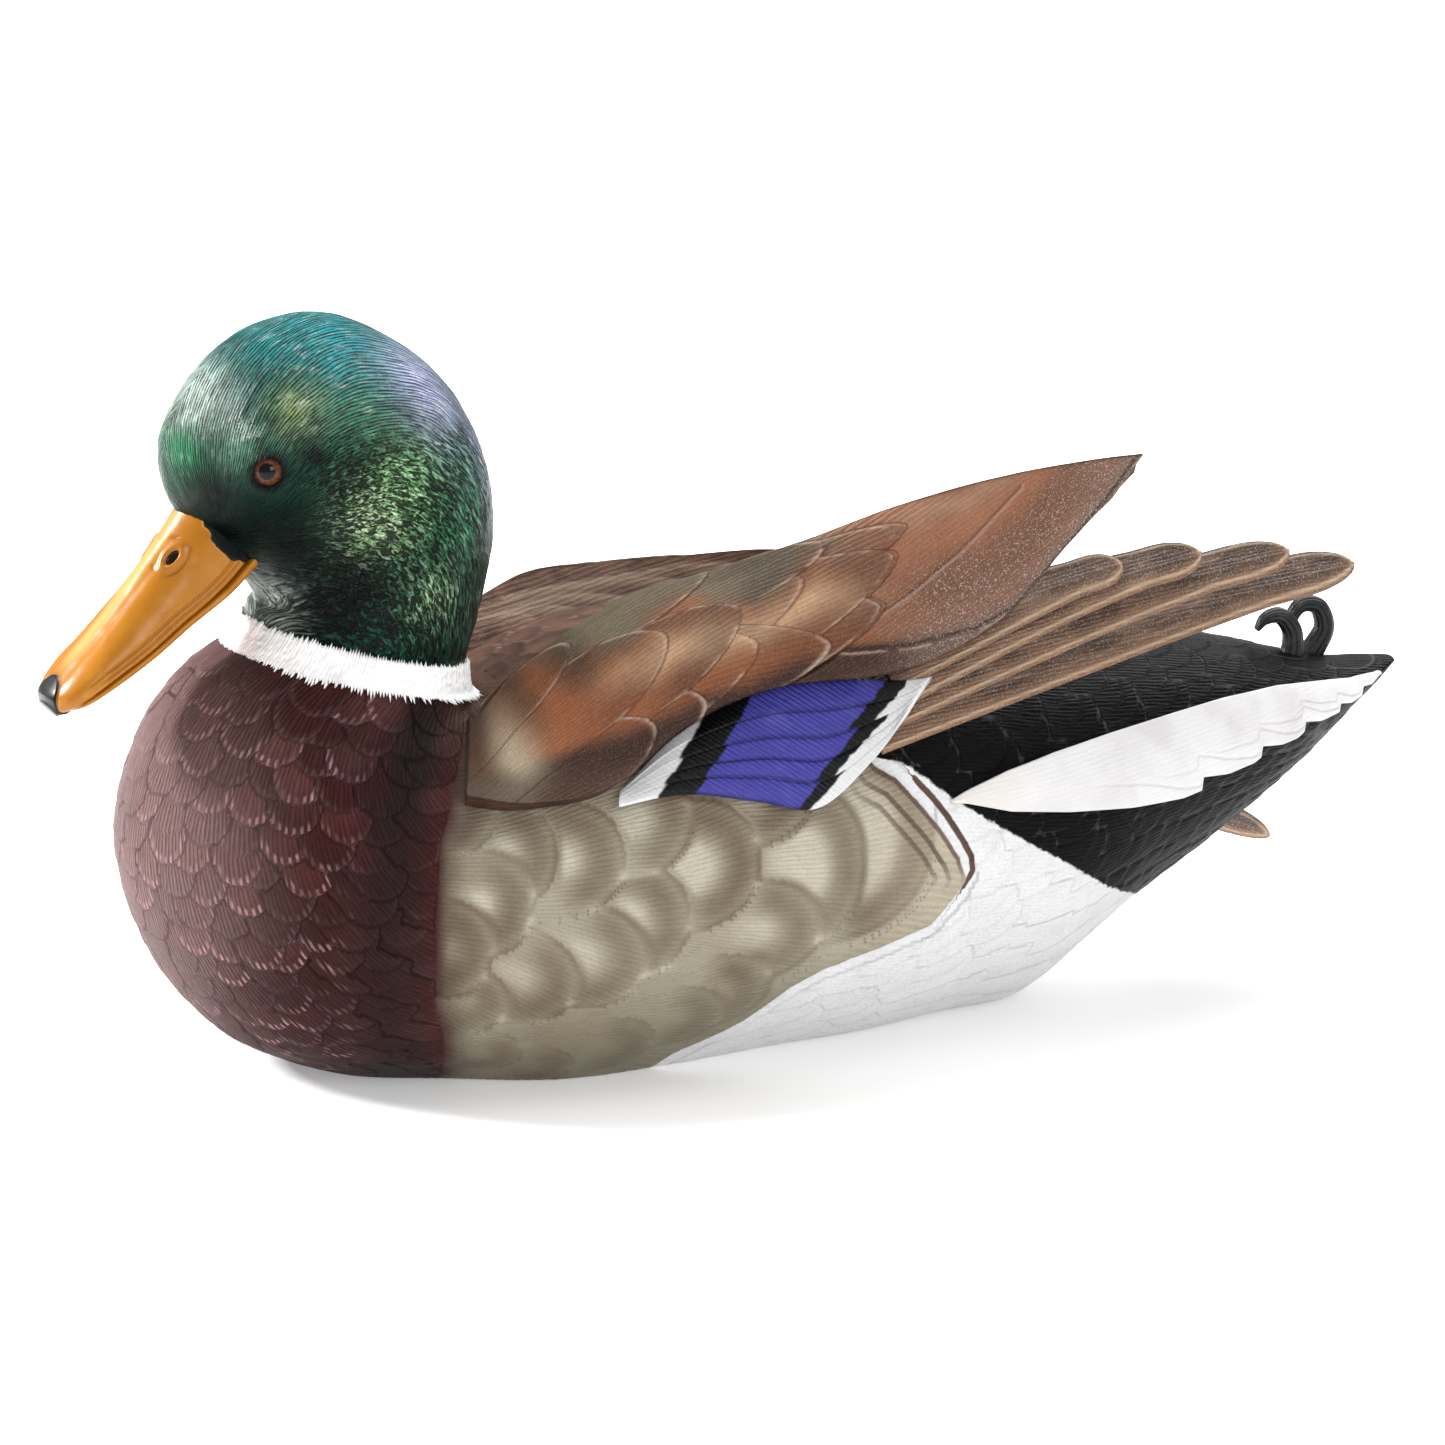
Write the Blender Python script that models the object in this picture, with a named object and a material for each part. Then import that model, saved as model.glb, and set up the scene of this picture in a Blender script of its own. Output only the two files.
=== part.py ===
"""A floating mallard drake decoy, built from castings, inserts and hardware.

Frame: origin at the centre of the flat base, -Y is the way the duck swims, +X its left side, +Z up.
Every size below is in millimetres. MM turns it into Blender's metres when a mesh is made.
"""

import math

import bmesh
import bpy
import numpy as np
from mathutils import Matrix, Vector

MM = 0.001
GAP = 0.3

# Body casting: each row is one hoop round the body, from the tail tip forward and up into the neck.
# (top y, top z, bottom y, bottom z, half width, widest point as a share from top, squareness above, below)
BODY_HOOPS = (
    (232.0, 92.6, 231.0, 90.2, 4.0, 0.40, 2.0, 2.0),
    (222.0, 93.5, 219.0, 80.0, 12.5, 0.40, 2.0, 1.9),
    (206.0, 95.5, 201.0, 63.5, 20.5, 0.38, 2.0, 1.8),
    (188.0, 100.0, 182.5, 49.5, 29.5, 0.37, 2.0, 1.75),
    (168.0, 105.0, 163.0, 37.0, 37.5, 0.38, 2.0, 1.75),
    (147.0, 108.5, 143.0, 24.5, 46.0, 0.39, 2.0, 1.7),
    (126.0, 111.0, 123.5, 11.0, 54.0, 0.41, 2.1, 1.7),
    (102.0, 113.5, 104.0, -0.6, 61.0, 0.43, 2.2, 1.8),
    (78.0, 116.0, 77.0, -2.6, 67.0, 0.45, 2.3, 1.9),
    (50.0, 119.0, 50.0, -5.0, 73.0, 0.47, 2.4, 2.0),
    (20.0, 121.5, 18.0, -7.0, 77.0, 0.47, 2.5, 2.0),
    (-10.0, 121.5, -16.0, -11.0, 78.0, 0.48, 2.5, 2.0),
    (-32.0, 117.5, -48.0, -13.0, 77.5, 0.49, 2.5, 2.0),
    (-46.0, 112.0, -80.0, -6.5, 75.0, 0.50, 2.5, 2.0),
    (-54.0, 108.0, -108.0, -1.5, 71.5, 0.52, 2.4, 2.0),
    (-58.0, 106.5, -134.0, 10.0, 66.0, 0.53, 2.3, 2.0),
    (-59.6, 105.4, -154.5, 35.0, 60.0, 0.54, 2.2, 2.0),
    (-60.4, 105.2, -163.0, 66.0, 53.0, 0.54, 2.1, 2.0),
    (-60.8, 105.2, -157.0, 94.0, 46.0, 0.53, 2.0, 2.0),
    (-61.0, 105.3, -145.0, 112.5, 40.5, 0.52, 2.0, 2.0),
)
BODY_WALL = 7.0

# Neck joint: the head turns about this axis, which leans back towards the tail.
NECK_TILT = math.radians(14.5)
NECK_SEAT = Vector((0.0, -96.0, 114.5))
SEAT_RADIUS = 36.0
COLLAR_HEIGHT = 9.0
COLLAR_TOP_RADIUS = 34.0
NECK_RADIUS = 32.0
COLLAR_CLEARANCE = 0.6
FRICTION_WASHER = (9.0, 30.0, 1.5)
DECK_THICKNESS = 8.0
BOLT_RADIUS = 3.9
BOLT_HOLE_RADIUS = 4.4
BOLT_REACH = 26.0
INSERT_RADIUS = 7.0
INSERT_LENGTH = 20.0
HEAD_REST_TURN = math.radians(9.0)

# Head casting: hoops from above the collar to the crown, given from the nape to the face.
# (back y, back z, front y, front z, half width, widest share from the back, squareness behind, in front)
HEAD_HOOPS = (
    (-58.6, 129.0, -123.0, 136.5, 31.2, 0.48, 2.0, 2.0),
    (-56.2, 140.0, -130.0, 146.0, 31.8, 0.45, 2.1, 1.80),
    (-54.6, 150.5, -139.0, 155.0, 32.2, 0.43, 2.2, 1.75),
    (-54.6, 162.0, -148.0, 164.0, 32.2, 0.42, 2.2, 1.85),
    (-56.8, 173.5, -151.8, 174.0, 31.2, 0.42, 2.2, 1.95),
    (-61.5, 185.0, -151.5, 184.5, 29.3, 0.43, 2.1, 2.0),
    (-68.0, 195.0, -146.5, 194.5, 26.2, 0.45, 2.0, 2.0),
    (-77.5, 203.8, -138.5, 204.2, 21.8, 0.47, 2.0, 2.0),
    (-88.0, 210.5, -128.0, 211.5, 15.5, 0.50, 2.0, 2.0),
    (-98.0, 214.8, -116.0, 215.4, 8.0, 0.50, 2.0, 2.0),
    (-104.5, 216.2, -110.5, 216.4, 2.6, 0.50, 2.0, 2.0),
)

# Bill: hoops from inside the face to the tip, given from the ridge to the cutting edge.
UPPER_BILL_HOOPS = (
    (-141.0, 171.0, -125.0, 158.0, 12.5, 0.70, 2.2, 2.6),
    (-147.5, 164.5, -131.0, 150.5, 13.4, 0.75, 2.0, 2.8),
    (-156.5, 152.8, -138.5, 142.5, 12.2, 0.78, 2.0, 3.0),
    (-164.5, 142.8, -149.5, 134.8, 12.0, 0.78, 2.2, 3.0),
    (-173.0, 132.8, -160.5, 127.2, 12.8, 0.76, 2.4, 3.0),
    (-181.5, 124.0, -172.5, 119.8, 13.2, 0.70, 2.6, 2.8),
    (-186.6, 117.8, -181.0, 113.2, 10.8, 0.62, 2.4, 2.4),
    (-188.6, 113.6, -185.4, 109.6, 5.4, 0.50, 2.0, 2.0),
)
LOWER_BILL_HOOPS = (
    (-124.2, 156.6, -121.0, 152.5, 11.5, 0.35, 2.4, 2.0),
    (-130.2, 149.2, -127.2, 145.2, 11.3, 0.35, 2.4, 2.0),
    (-137.8, 141.6, -135.2, 138.0, 10.6, 0.35, 2.6, 2.0),
    (-148.9, 133.9, -146.7, 130.6, 10.4, 0.35, 2.6, 2.0),
    (-160.0, 126.2, -158.2, 122.6, 10.8, 0.35, 2.6, 2.0),
    (-171.9, 118.8, -170.5, 115.4, 10.6, 0.35, 2.6, 2.0),
    (-178.8, 113.4, -177.6, 110.8, 8.0, 0.40, 2.4, 2.0),
    (-182.6, 111.0, -181.9, 109.4, 4.0, 0.40, 2.2, 2.0),
)
EYE_CENTRE = Vector((21.4, -130.0, 178.0))
EYE_RADIUS = 4.4
EYE_OUTWARD = Vector((0.87, -0.48, 0.10)).normalized()

# Wings, shoulder to tip: ridge x, y, z, lower edge x, y, z, how far the outer face bulges, then the
# (x, z) of the two inner corners, which lie inside the body until the wing lifts clear of the back.
WING_ROWS = (
    (30.0, -70.0, 104.0, 60.0, -80.0, 88.5, 1.5, 45.0, 70.0, 15.0, 85.0),
    (38.0, -57.0, 119.0, 70.0, -65.0, 87.0, 4.0, 50.0, 75.0, 12.0, 95.0),
    (44.0, -30.0, 137.5, 75.0, -43.0, 90.5, 5.5, 58.0, 84.0, 8.0, 105.0),
    (47.5, -5.0, 144.5, 74.0, -19.5, 106.0, 5.5, 56.0, 112.0, 8.0, 108.0),
    (49.0, 22.0, 151.5, 71.0, 7.0, 114.0, 5.0, 54.0, 123.0, 14.0, 110.0),
    (49.5, 48.5, 159.2, 68.0, 37.0, 114.2, 4.5, 57.0, 125.0, 27.0, 124.0),
    (49.5, 70.0, 164.0, 64.5, 59.0, 117.3, 4.0, 60.5, 123.0, 39.5, 147.0),
    (49.5, 92.0, 167.3, 59.5, 81.0, 127.0, 3.0, 57.0, 129.0, 44.5, 161.0),
    (48.8, 112.0, 169.0, 54.5, 101.0, 144.0, 2.0, 52.0, 145.5, 45.0, 164.5),
    (48.0, 127.5, 169.5, 50.0, 122.5, 162.5, 0.3, 48.4, 163.3, 46.4, 168.0),
)
# Secondary feathers, front to back: upper edge x, y, z, lower edge x, y, z, bulge, thickness.
SECONDARY_ROWS = (
    (71.5, -39.0, 89.0, 76.0, -41.0, 86.0, 0.2, 1.6),
    (67.5, -20.0, 103.5, 78.6, -22.5, 88.5, 1.0, 2.2),
    (63.8, 5.0, 113.0, 80.0, -2.0, 85.0, 1.4, 2.4),
    (62.6, 28.0, 114.0, 79.5, 16.5, 81.5, 1.6, 2.4),
    (64.6, 46.0, 112.5, 76.0, 34.0, 93.0, 1.0, 2.2),
    (64.6, 56.0, 112.5, 72.0, 45.5, 104.0, 0.6, 1.8),
)
# Primary flight feathers, top to bottom: (root x, y, z, tip x, y, z, width, arch upwards)
PRIMARIES = (
    (60.9, 44.0, 113.2, 46.0, 122.0, 137.0, 15.0, 3.5),
    (62.3, 42.0, 107.9, 39.5, 150.0, 137.0, 16.5, 5.5),
    (63.8, 40.0, 102.9, 31.5, 182.0, 134.0, 16.5, 5.5),
    (65.4, 38.0, 97.2, 22.0, 208.0, 126.5, 16.0, 4.0),
)
PRIMARY_THICKNESS = 1.4
# The right wing is carried lower than the left: it sinks and spreads with distance behind the shoulder.
DROOP_START = -90.0
DROOP_SLOPE, DROOP_CURVE = 0.14, 0.00074
SPREAD_SLOPE, SPREAD_CURVE = 0.065, 0.00038
TRAIL_CURVE = 0.00024
WING_PEG_RADIUS = 4.0
WING_PEG_REACH = {"left": 24.0, "right": 17.0}

# White outer tail feathers: (top x, y, z, lower x, y, z, bulge, thickness), root to tip.
TAIL_SIDE_ROWS = (
    (67.5, 65.0, 79.0, 68.0, 66.0, 76.0, 0.2, 1.2),
    (61.5, 91.0, 85.3, 64.5, 95.0, 69.0, 0.8, 2.4),
    (51.0, 118.5, 90.6, 58.0, 124.5, 67.0, 1.0, 2.6),
    (40.5, 147.0, 93.2, 48.5, 153.0, 63.8, 1.0, 2.8),
    (30.8, 174.5, 93.2, 37.0, 178.5, 68.5, 1.0, 2.8),
    (20.8, 198.5, 91.2, 24.8, 203.0, 76.7, 0.8, 2.4),
    (12.8, 219.0, 90.4, 14.8, 221.5, 84.0, 0.3, 1.6),
)

# Tail curls: a ribbon that rises from the tail coverts and rolls forward. (y, z, width, thickness)
CURL_FRONT = (
    (196.5, 93.6, 5.0, 5.4), (197.6, 98.6, 4.6, 4.6), (197.0, 104.0, 4.4, 4.0),
    (193.2, 108.2, 4.0, 3.4), (188.4, 107.6, 3.2, 2.6), (185.6, 104.4, 1.8, 1.2),
)
CURL_REAR = (
    (205.0, 92.6, 5.6, 5.4), (208.8, 97.0, 5.0, 4.8), (211.4, 102.4, 4.8, 4.2),
    (209.0, 108.6, 4.4, 3.6), (203.6, 109.4, 4.0, 3.2), (200.4, 105.4, 3.4, 2.6),
    (201.2, 101.2, 2.4, 1.6),
)
CURL_X = {"front": 3.6, "rear": -3.4}

# Underside: base plate, gasket, ballast, drain plug and the ring that the anchor line ties to.
PLATE_THICKNESS = 5.0
PLATE_INSET = 2.2
LEDGE_INSET = 8.5
LEDGE_TOP = 16.0
GASKET_THICKNESS = 1.2
PLATE_SCREWS = 6
SCREW_INSET = 5.3
SCREW_RADIUS, SCREW_HEAD_RADIUS, SCREW_HEAD_HEIGHT, SCREW_LENGTH = 1.5, 2.6, 1.8, 12.0
BALLAST_Y = (-58.0, 34.0)
BALLAST_HALF_WIDTH = 21.0
BALLAST_HEIGHT = 15.0
BALLAST_SCREW_Y = (-46.0, 22.0)
PLUG_Y = 66.0
PLUG_HEAD_RADIUS, PLUG_SHANK_RADIUS, PLUG_HEAD_HEIGHT, PLUG_LENGTH = 8.0, 5.4, 2.6, 12.0
SEAL_WIDTH = 2.0
SEAL_THICKNESS = 1.2
TIE_Y = -86.0
POCKET_SIZE = (26.0, 22.0, 8.0)
POCKET_WALL = 3.5
RING_WIRE_RADIUS = 1.25
RING_BAR_LENGTH, RING_DEPTH = 15.0, 12.5
RING_PIVOT_Z = 4.4
CLIP_SIZE = (7.0, 5.4)


def clear_scene():
    for obj in list(bpy.data.objects):
        bpy.data.objects.remove(obj)


def material(name, colour, roughness, metallic=0.0):
    made = bpy.data.materials.get(name) or bpy.data.materials.new(name)
    made.use_nodes = True
    shader = made.node_tree.nodes["Principled BSDF"]
    shader.inputs["Base Color"].default_value = (*colour, 1.0)
    shader.inputs["Roughness"].default_value = roughness
    shader.inputs["Metallic"].default_value = metallic
    made.diffuse_color = (*colour, 1.0)
    return made


def painted(part):
    """The paints and metals of the decoy, by the part they cover."""
    table = {
        "body": ((0.20, 0.15, 0.12), 0.60), "wing": ((0.26, 0.16, 0.10), 0.60),
        "feather": ((0.22, 0.14, 0.10), 0.55), "speculum": ((0.10, 0.09, 0.34), 0.50),
        "white": ((0.80, 0.80, 0.80), 0.60), "head": ((0.02, 0.10, 0.06), 0.35),
        "bill": ((0.72, 0.36, 0.05), 0.35), "eye": ((0.30, 0.11, 0.04), 0.08),
        "black": ((0.02, 0.02, 0.02), 0.45), "rubber": ((0.03, 0.03, 0.03), 0.80),
        "base": ((0.05, 0.04, 0.04), 0.60),
    }
    metals = {
        "steel": ((0.60, 0.60, 0.60), 0.30), "brass": ((0.75, 0.55, 0.25), 0.30),
        "lead": ((0.25, 0.26, 0.28), 0.55),
    }
    if part in metals:
        return material(part, *metals[part], metallic=1.0)
    return material(part, *table[part])


def add(name, bm, paint, smooth_angle=50.0):
    """Puts a bmesh in the scene as a named object, in metres, with its normals outward."""
    bmesh.ops.recalc_face_normals(bm, faces=bm.faces)
    bmesh.ops.scale(bm, vec=(MM, MM, MM), verts=bm.verts)
    mesh = bpy.data.meshes.new(name)
    bm.to_mesh(mesh)
    bm.free()
    mesh.shade_smooth()
    mesh.set_sharp_from_angle(angle=math.radians(smooth_angle))
    mesh.materials.append(painted(paint))
    obj = bpy.data.objects.new(name, mesh)
    bpy.context.scene.collection.objects.link(obj)
    return obj


def as_cutter(obj):
    obj.hide_render = True
    obj.display_type = "WIRE"
    return obj


def boolean(obj, other, operation="DIFFERENCE"):
    modifier = obj.modifiers.new(operation.lower(), "BOOLEAN")
    modifier.operation = operation
    modifier.object = as_cutter(other)
    return obj


def smooth_rows(rows, per_span):
    """Catmull-Rom rows between the given rows, so that a short table makes a smooth shape."""
    table = np.array(rows, float)
    padded = np.vstack([2 * table[0] - table[1], table, 2 * table[-1] - table[-2]])
    made = []
    for i in range(1, len(table)):
        a, b, c, d = padded[i - 1 : i + 3]
        for t in np.arange(per_span) / per_span:
            made.append(
                0.5 * (2 * b + (c - a) * t + (2 * a - 5 * b + 4 * c - d) * t**2
                       + (3 * b - a - 3 * c + d) * t**3)
            )
    return made + [table[-1]]


def hoop(row, count, inset=0.0):
    """One closed hoop: two half superellipses that meet at the widest point."""
    start = np.array([0.0, row[0], row[1]])
    end = np.array([0.0, row[2], row[3]])
    half_width, widest, square_above, square_below = row[4:8]
    length = np.linalg.norm(end - start)
    along = (end - start) / length
    start = start + along * min(inset, 0.45 * length)
    end = end - along * min(inset, 0.45 * length)
    half_width = max(half_width - inset, 0.2 * half_width)
    points = []
    for k in range(count):
        angle = 2 * math.pi * k / count
        c, s = math.cos(angle), math.sin(angle)
        square = square_above if c >= 0 else square_below
        rise, side = abs(c) ** (2 / square), abs(s) ** (2 / square)
        share = widest * (1 - rise) if c >= 0 else widest + (1 - widest) * rise
        point = start + (end - start) * share
        point[0] = math.copysign(half_width * side, s)
        points.append(point)
    return points


def loft(hoops):
    """A closed bmesh through equal hoops of points, with flat ends."""
    bm = bmesh.new()
    loops = [[bm.verts.new(p) for p in points] for points in hoops]
    count = len(loops[0])
    for near, far in zip(loops, loops[1:]):
        for k in range(count):
            n = (k + 1) % count
            bm.faces.new((near[k], near[n], far[n], far[k]))
    bm.faces.new(loops[0][::-1])
    bm.faces.new(loops[-1])
    return bm


def sheet(rows, across, rim=0.5):
    """A closed, thin, bulged solid between two edges. Each row is (edge a, edge b, bulge, thickness)."""
    table = np.array(rows, float)
    edge_a, edge_b = table[:, 0:3], table[:, 3:6]
    tangent = np.gradient((edge_a + edge_b) / 2, axis=0)
    normal = np.cross(tangent, edge_b - edge_a)
    normal /= np.linalg.norm(normal, axis=1)[:, None]
    if normal[:, 0].mean() * edge_b[:, 0].mean() < 0:
        normal = -normal
    hoops = []
    for i, row in enumerate(table):
        outer, inner = [], []
        for v in np.linspace(0, 1, across):
            dome = 4 * v * (1 - v)
            middle = edge_a[i] + (edge_b[i] - edge_a[i]) * v + normal[i] * row[6] * dome
            half = row[7] / 2 * (rim + (1 - rim) * math.sqrt(dome))
            outer.append(middle + normal[i] * half)
            inner.append(middle - normal[i] * half)
        hoops.append(outer + inner[::-1])
    return loft(hoops)


def neck_frame():
    """A matrix that carries +Z onto the neck's axis, with its origin at the seat."""
    return Matrix.Translation(NECK_SEAT) @ Matrix.Rotation(-NECK_TILT, 4, "X")


def turned(profile, segments=48, matrix=None):
    """A closed ring or disc: a profile of (radius, height) points spun about Z."""
    bm = bmesh.new()
    if profile[0][0] > 0 and profile[-1][0] > 0:
        verts = [bm.verts.new((r, 0, z)) for r, z in profile]
        edges = [bm.edges.new((a, b)) for a, b in zip(verts, verts[1:] + verts[:1])]
    else:
        verts = [bm.verts.new((r, 0, z)) for r, z in profile]
        edges = [bm.edges.new((a, b)) for a, b in zip(verts, verts[1:])]
    bmesh.ops.spin(
        bm, geom=verts + edges, cent=(0, 0, 0), axis=(0, 0, 1),
        angle=2 * math.pi, steps=segments, use_merge=True,
    )
    bmesh.ops.remove_doubles(bm, verts=bm.verts, dist=0.001)
    if matrix is not None:
        bmesh.ops.transform(bm, matrix=matrix, verts=bm.verts)
    return bm


def rod(radius, low, high, segments=24, matrix=None):
    return turned([(0, low), (radius, low), (radius, high), (0, high)], segments, matrix)


def washer(inner, outer, low, high, segments=40, matrix=None):
    return turned([(inner, low), (outer, low), (outer, high), (inner, high)], segments, matrix)


def prism(outline, low, high, hole=None):
    """An outline of (x, y) points raised from low to high, with an optional hole of as many points."""
    bm = bmesh.new()
    bottom = [bm.verts.new((x, y, low)) for x, y in outline]
    top = [bm.verts.new((x, y, high)) for x, y in outline]
    count = len(outline)
    for k in range(count):
        n = (k + 1) % count
        bm.faces.new((bottom[k], bottom[n], top[n], top[k]))
    if hole is None:
        bm.faces.new(bottom[::-1])
        bm.faces.new(top)
        return bm
    bottom_in = [bm.verts.new((x, y, low)) for x, y in hole]
    top_in = [bm.verts.new((x, y, high)) for x, y in hole]
    for k in range(count):
        n = (k + 1) % count
        bm.faces.new((bottom_in[n], bottom_in[k], top_in[k], top_in[n]))
        bm.faces.new((bottom[n], bottom[k], bottom_in[k], bottom_in[n]))
        bm.faces.new((top[k], top[n], top_in[n], top_in[k]))
    return bm


def box(size, centre):
    bm = bmesh.new()
    bmesh.ops.create_cube(bm, size=1.0)
    bmesh.ops.scale(bm, vec=size, verts=bm.verts)
    bmesh.ops.translate(bm, vec=centre, verts=bm.verts)
    return bm


def merged(parts):
    """Several bmeshes as one, for a cutter or for parts that a Boolean joins later."""
    whole = bmesh.new()
    for part in parts:
        mesh = bpy.data.meshes.new("part")
        part.to_mesh(mesh)
        part.free()
        whole.from_mesh(mesh)
        bpy.data.meshes.remove(mesh)
    return whole


def body_hoops(per_span, count, inset=0.0):
    """The body's hoops, ending in the round neck seat."""
    seat = circle_row(SEAT_RADIUS, 0.0)
    return [hoop(row, count, inset) for row in smooth_rows(BODY_HOOPS + (seat,), per_span)]


def circle_row(radius, height):
    """A hoop row that is a true circle about the neck axis, from its back to its front."""
    frame = neck_frame()
    back, front = frame @ Vector((0, radius, height)), frame @ Vector((0, -radius, height))
    return (back.y, back.z, front.y, front.z, radius, 0.5, 2.0, 2.0)


def base_outline(inset, count=48):
    """The outline where the body meets the ground, moved inwards, as (x, y) points."""
    side = []
    for points in body_hoops(4, 96):
        lower = points[24:49]
        for a, b in zip(lower, lower[1:]):
            if a[2] > 0 >= b[2]:
                share = a[2] / (a[2] - b[2])
                side.append((a[0] + (b[0] - a[0]) * share, a[1] + (b[1] - a[1]) * share))
    side = np.array(side)
    rear = side[0][1] + 0.02 * abs(side[0][0])
    front = side[-1][1] - 0.3 * abs(side[-1][0])
    side = np.vstack([[0, rear], side, [0, front]])
    whole = np.vstack([side, (side * (-1, 1))[-2:0:-1]])
    closed = np.vstack([whole, whole[:1]])
    steps = np.r_[0, np.cumsum(np.linalg.norm(np.diff(closed, axis=0), axis=1))]
    even = np.linspace(0, steps[-1], count, endpoint=False)
    even = np.column_stack([np.interp(even, steps, closed[:, k]) for k in (0, 1)])
    tangent = np.roll(even, -1, axis=0) - np.roll(even, 1, axis=0)
    tangent /= np.linalg.norm(tangent, axis=1)[:, None]
    inward = np.column_stack([-tangent[:, 1], tangent[:, 0]])
    if (inward * -even).sum() < 0:
        inward = -inward
    return even + inward * inset


def screw_places():
    """Where the base plate's screws go: evenly round the outline, clear of its two ends."""
    ring = base_outline(SCREW_INSET, 120)
    offset = len(ring) // (2 * PLATE_SCREWS)
    return [ring[(offset + k * len(ring) // PLATE_SCREWS) % len(ring)] for k in range(PLATE_SCREWS)]


def at(x, y, z=0.0):
    return Matrix.Translation((x, y, z))


def drooped(points):
    """Left-side points as they lie on the right, where the wing is carried lower."""
    moved = np.array(points, float)
    back = np.maximum(moved[:, 1] - DROOP_START, 0)
    moved[:, 2] -= DROOP_SLOPE * back + DROOP_CURVE * back**2
    moved[:, 0] = -(moved[:, 0] + SPREAD_SLOPE * back + SPREAD_CURVE * back**2)
    moved[:, 1] += TRAIL_CURVE * back**2
    return moved


def sided(rows, side):
    """Rows of two edges, mirrored and drooped for the right side."""
    table = np.array(rows, float)
    if side == "right":
        table[:, 0:3] = drooped(table[:, 0:3])
        table[:, 3:6] = drooped(table[:, 3:6])
    return table


def mirrored(rows):
    table = np.array(rows, float)
    table[:, [0, 3]] *= -1
    return table


def wing_hoops(side):
    """The wing's sections: a bulged outer face, an underside and an inner slope up to the ridge."""
    hoops = []
    for row in smooth_rows(WING_ROWS, 2):
        ridge, lower, bulge = row[0:3], row[3:6], row[6]
        low = np.array([row[7], lower[1] + 2.0, row[8]])
        high = np.array([row[9], ridge[1] - 1.0, row[10]])
        outward = np.cross([0, 1, 0], ridge - lower)
        outward /= np.linalg.norm(outward)
        points = []
        for v in np.linspace(0, 1, 9):
            points.append(ridge + (lower - ridge) * v + outward * bulge * 4 * v * (1 - v))
        for v in (0.5, 1.0):
            points.append(lower + (low - lower) * v)
        for v in (0.33, 0.67, 1.0):
            points.append(low + (high - low) * v)
        for v in (0.3, 0.55, 0.8):
            points.append(high + (ridge - high) * v + outward * 0.12 * (v - v * v) * abs(ridge - high).sum())
        hoops.append(drooped(points) if side == "right" else np.array(points))
    return hoops


def wing_pegs(side, grow=0.0):
    """Two round pegs on the wing's inner side, which locate it in the body."""
    pegs = []
    for number in (2, 3):
        table = np.array(WING_ROWS[number], float)
        middle = (table[0:3] * 0.45 + table[3:6] * 0.55)[None, :]
        middle = drooped(middle)[0] if side == "right" else middle[0]
        inward = Vector((-1 if side == "left" else 1, 0, -0.35)).normalized()
        frame = Matrix.Translation(middle) @ inward.to_track_quat("Z", "Y").to_matrix().to_4x4()
        pegs.append(rod(WING_PEG_RADIUS + grow, 0.0, WING_PEG_REACH[side] + grow, 20, frame))
    return merged(pegs)


def make_body():
    outer = add("body_shell", loft(body_hoops(2, 36)), "body")
    hollow = add("cut_hollow", loft(body_hoops(1, 24, BODY_WALL)[4:-2]), "body")
    boolean(hollow, add("cut_hollow_floor", box((400, 600, 80), (0, 0, LEDGE_TOP - 40)), "body"))
    boolean(outer, hollow)
    boolean(outer, add("cut_opening", prism(base_outline(LEDGE_INSET), -1.0, LEDGE_TOP + 1), "body"))
    boolean(outer, add("cut_ground", box((400, 600, 60), (0, 0, -30)), "body"))
    rebate = prism(base_outline(PLATE_INSET - GAP), -1.0, PLATE_THICKNESS + GASKET_THICKNESS + 2 * GAP)
    boolean(outer, add("cut_rebate", rebate, "body"))
    frame = neck_frame()
    well, deck = 15.0, -DECK_THICKNESS
    bores = turned([
        (0, -34.0), (well, -34.0), (well, deck), (BOLT_HOLE_RADIUS, deck), (BOLT_HOLE_RADIUS, 2.0), (0, 2.0),
    ], 32, frame)
    pilot_top = SCREW_LENGTH + 1.0
    pilots = merged([rod(SCREW_RADIUS + GAP, 4.0, pilot_top, 12, at(x, y)) for x, y in screw_places()])
    boolean(outer, add("cut_neck", bores, "body"), "DIFFERENCE")
    boolean(outer, add("cut_pilots", pilots, "body"), "DIFFERENCE")
    return outer


def make_head():
    frame = neck_frame()
    low = FRICTION_WASHER[2] + 2 * GAP
    stem = [circle_row(NECK_RADIUS, low), circle_row(NECK_RADIUS, COLLAR_HEIGHT + 2.0)]
    rows = smooth_rows(stem + list(HEAD_HOOPS), 2)
    head = add("head", loft([hoop(row, 32) for row in rows]), "head")
    plug = loft([hoop(row, 20, -GAP) for row in UPPER_BILL_HOOPS])
    under = loft([hoop(row, 20, -GAP) for row in LOWER_BILL_HOOPS])
    boolean(head, add("cut_bill", plug, "head"))
    boolean(head, add("cut_under_bill", under, "head"))
    socket = rod(INSERT_RADIUS + GAP, 0.0, low + INSERT_LENGTH + GAP, 28, frame)
    relief = rod(BOLT_RADIUS + GAP, 0.0, BOLT_REACH + 2.0, 24, frame)
    boolean(head, add("cut_insert", socket, "head"))
    boolean(head, add("cut_bolt", relief, "head"))
    for side in (1, -1):
        boolean(head, add(f"cut_eye_{side}", eye_solid(side, GAP), "head"))
    upper = add("bill_upper", loft([hoop(r, 20) for r in smooth_rows(UPPER_BILL_HOOPS, 2)]), "bill")
    lower = add("bill_lower", loft([hoop(r, 16) for r in LOWER_BILL_HOOPS]), "bill")
    eyes = [add(name, eye_solid(side), "eye") for name, side in (("eye_left", 1), ("eye_right", -1))]
    return [head, upper, lower, *eyes]


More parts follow.
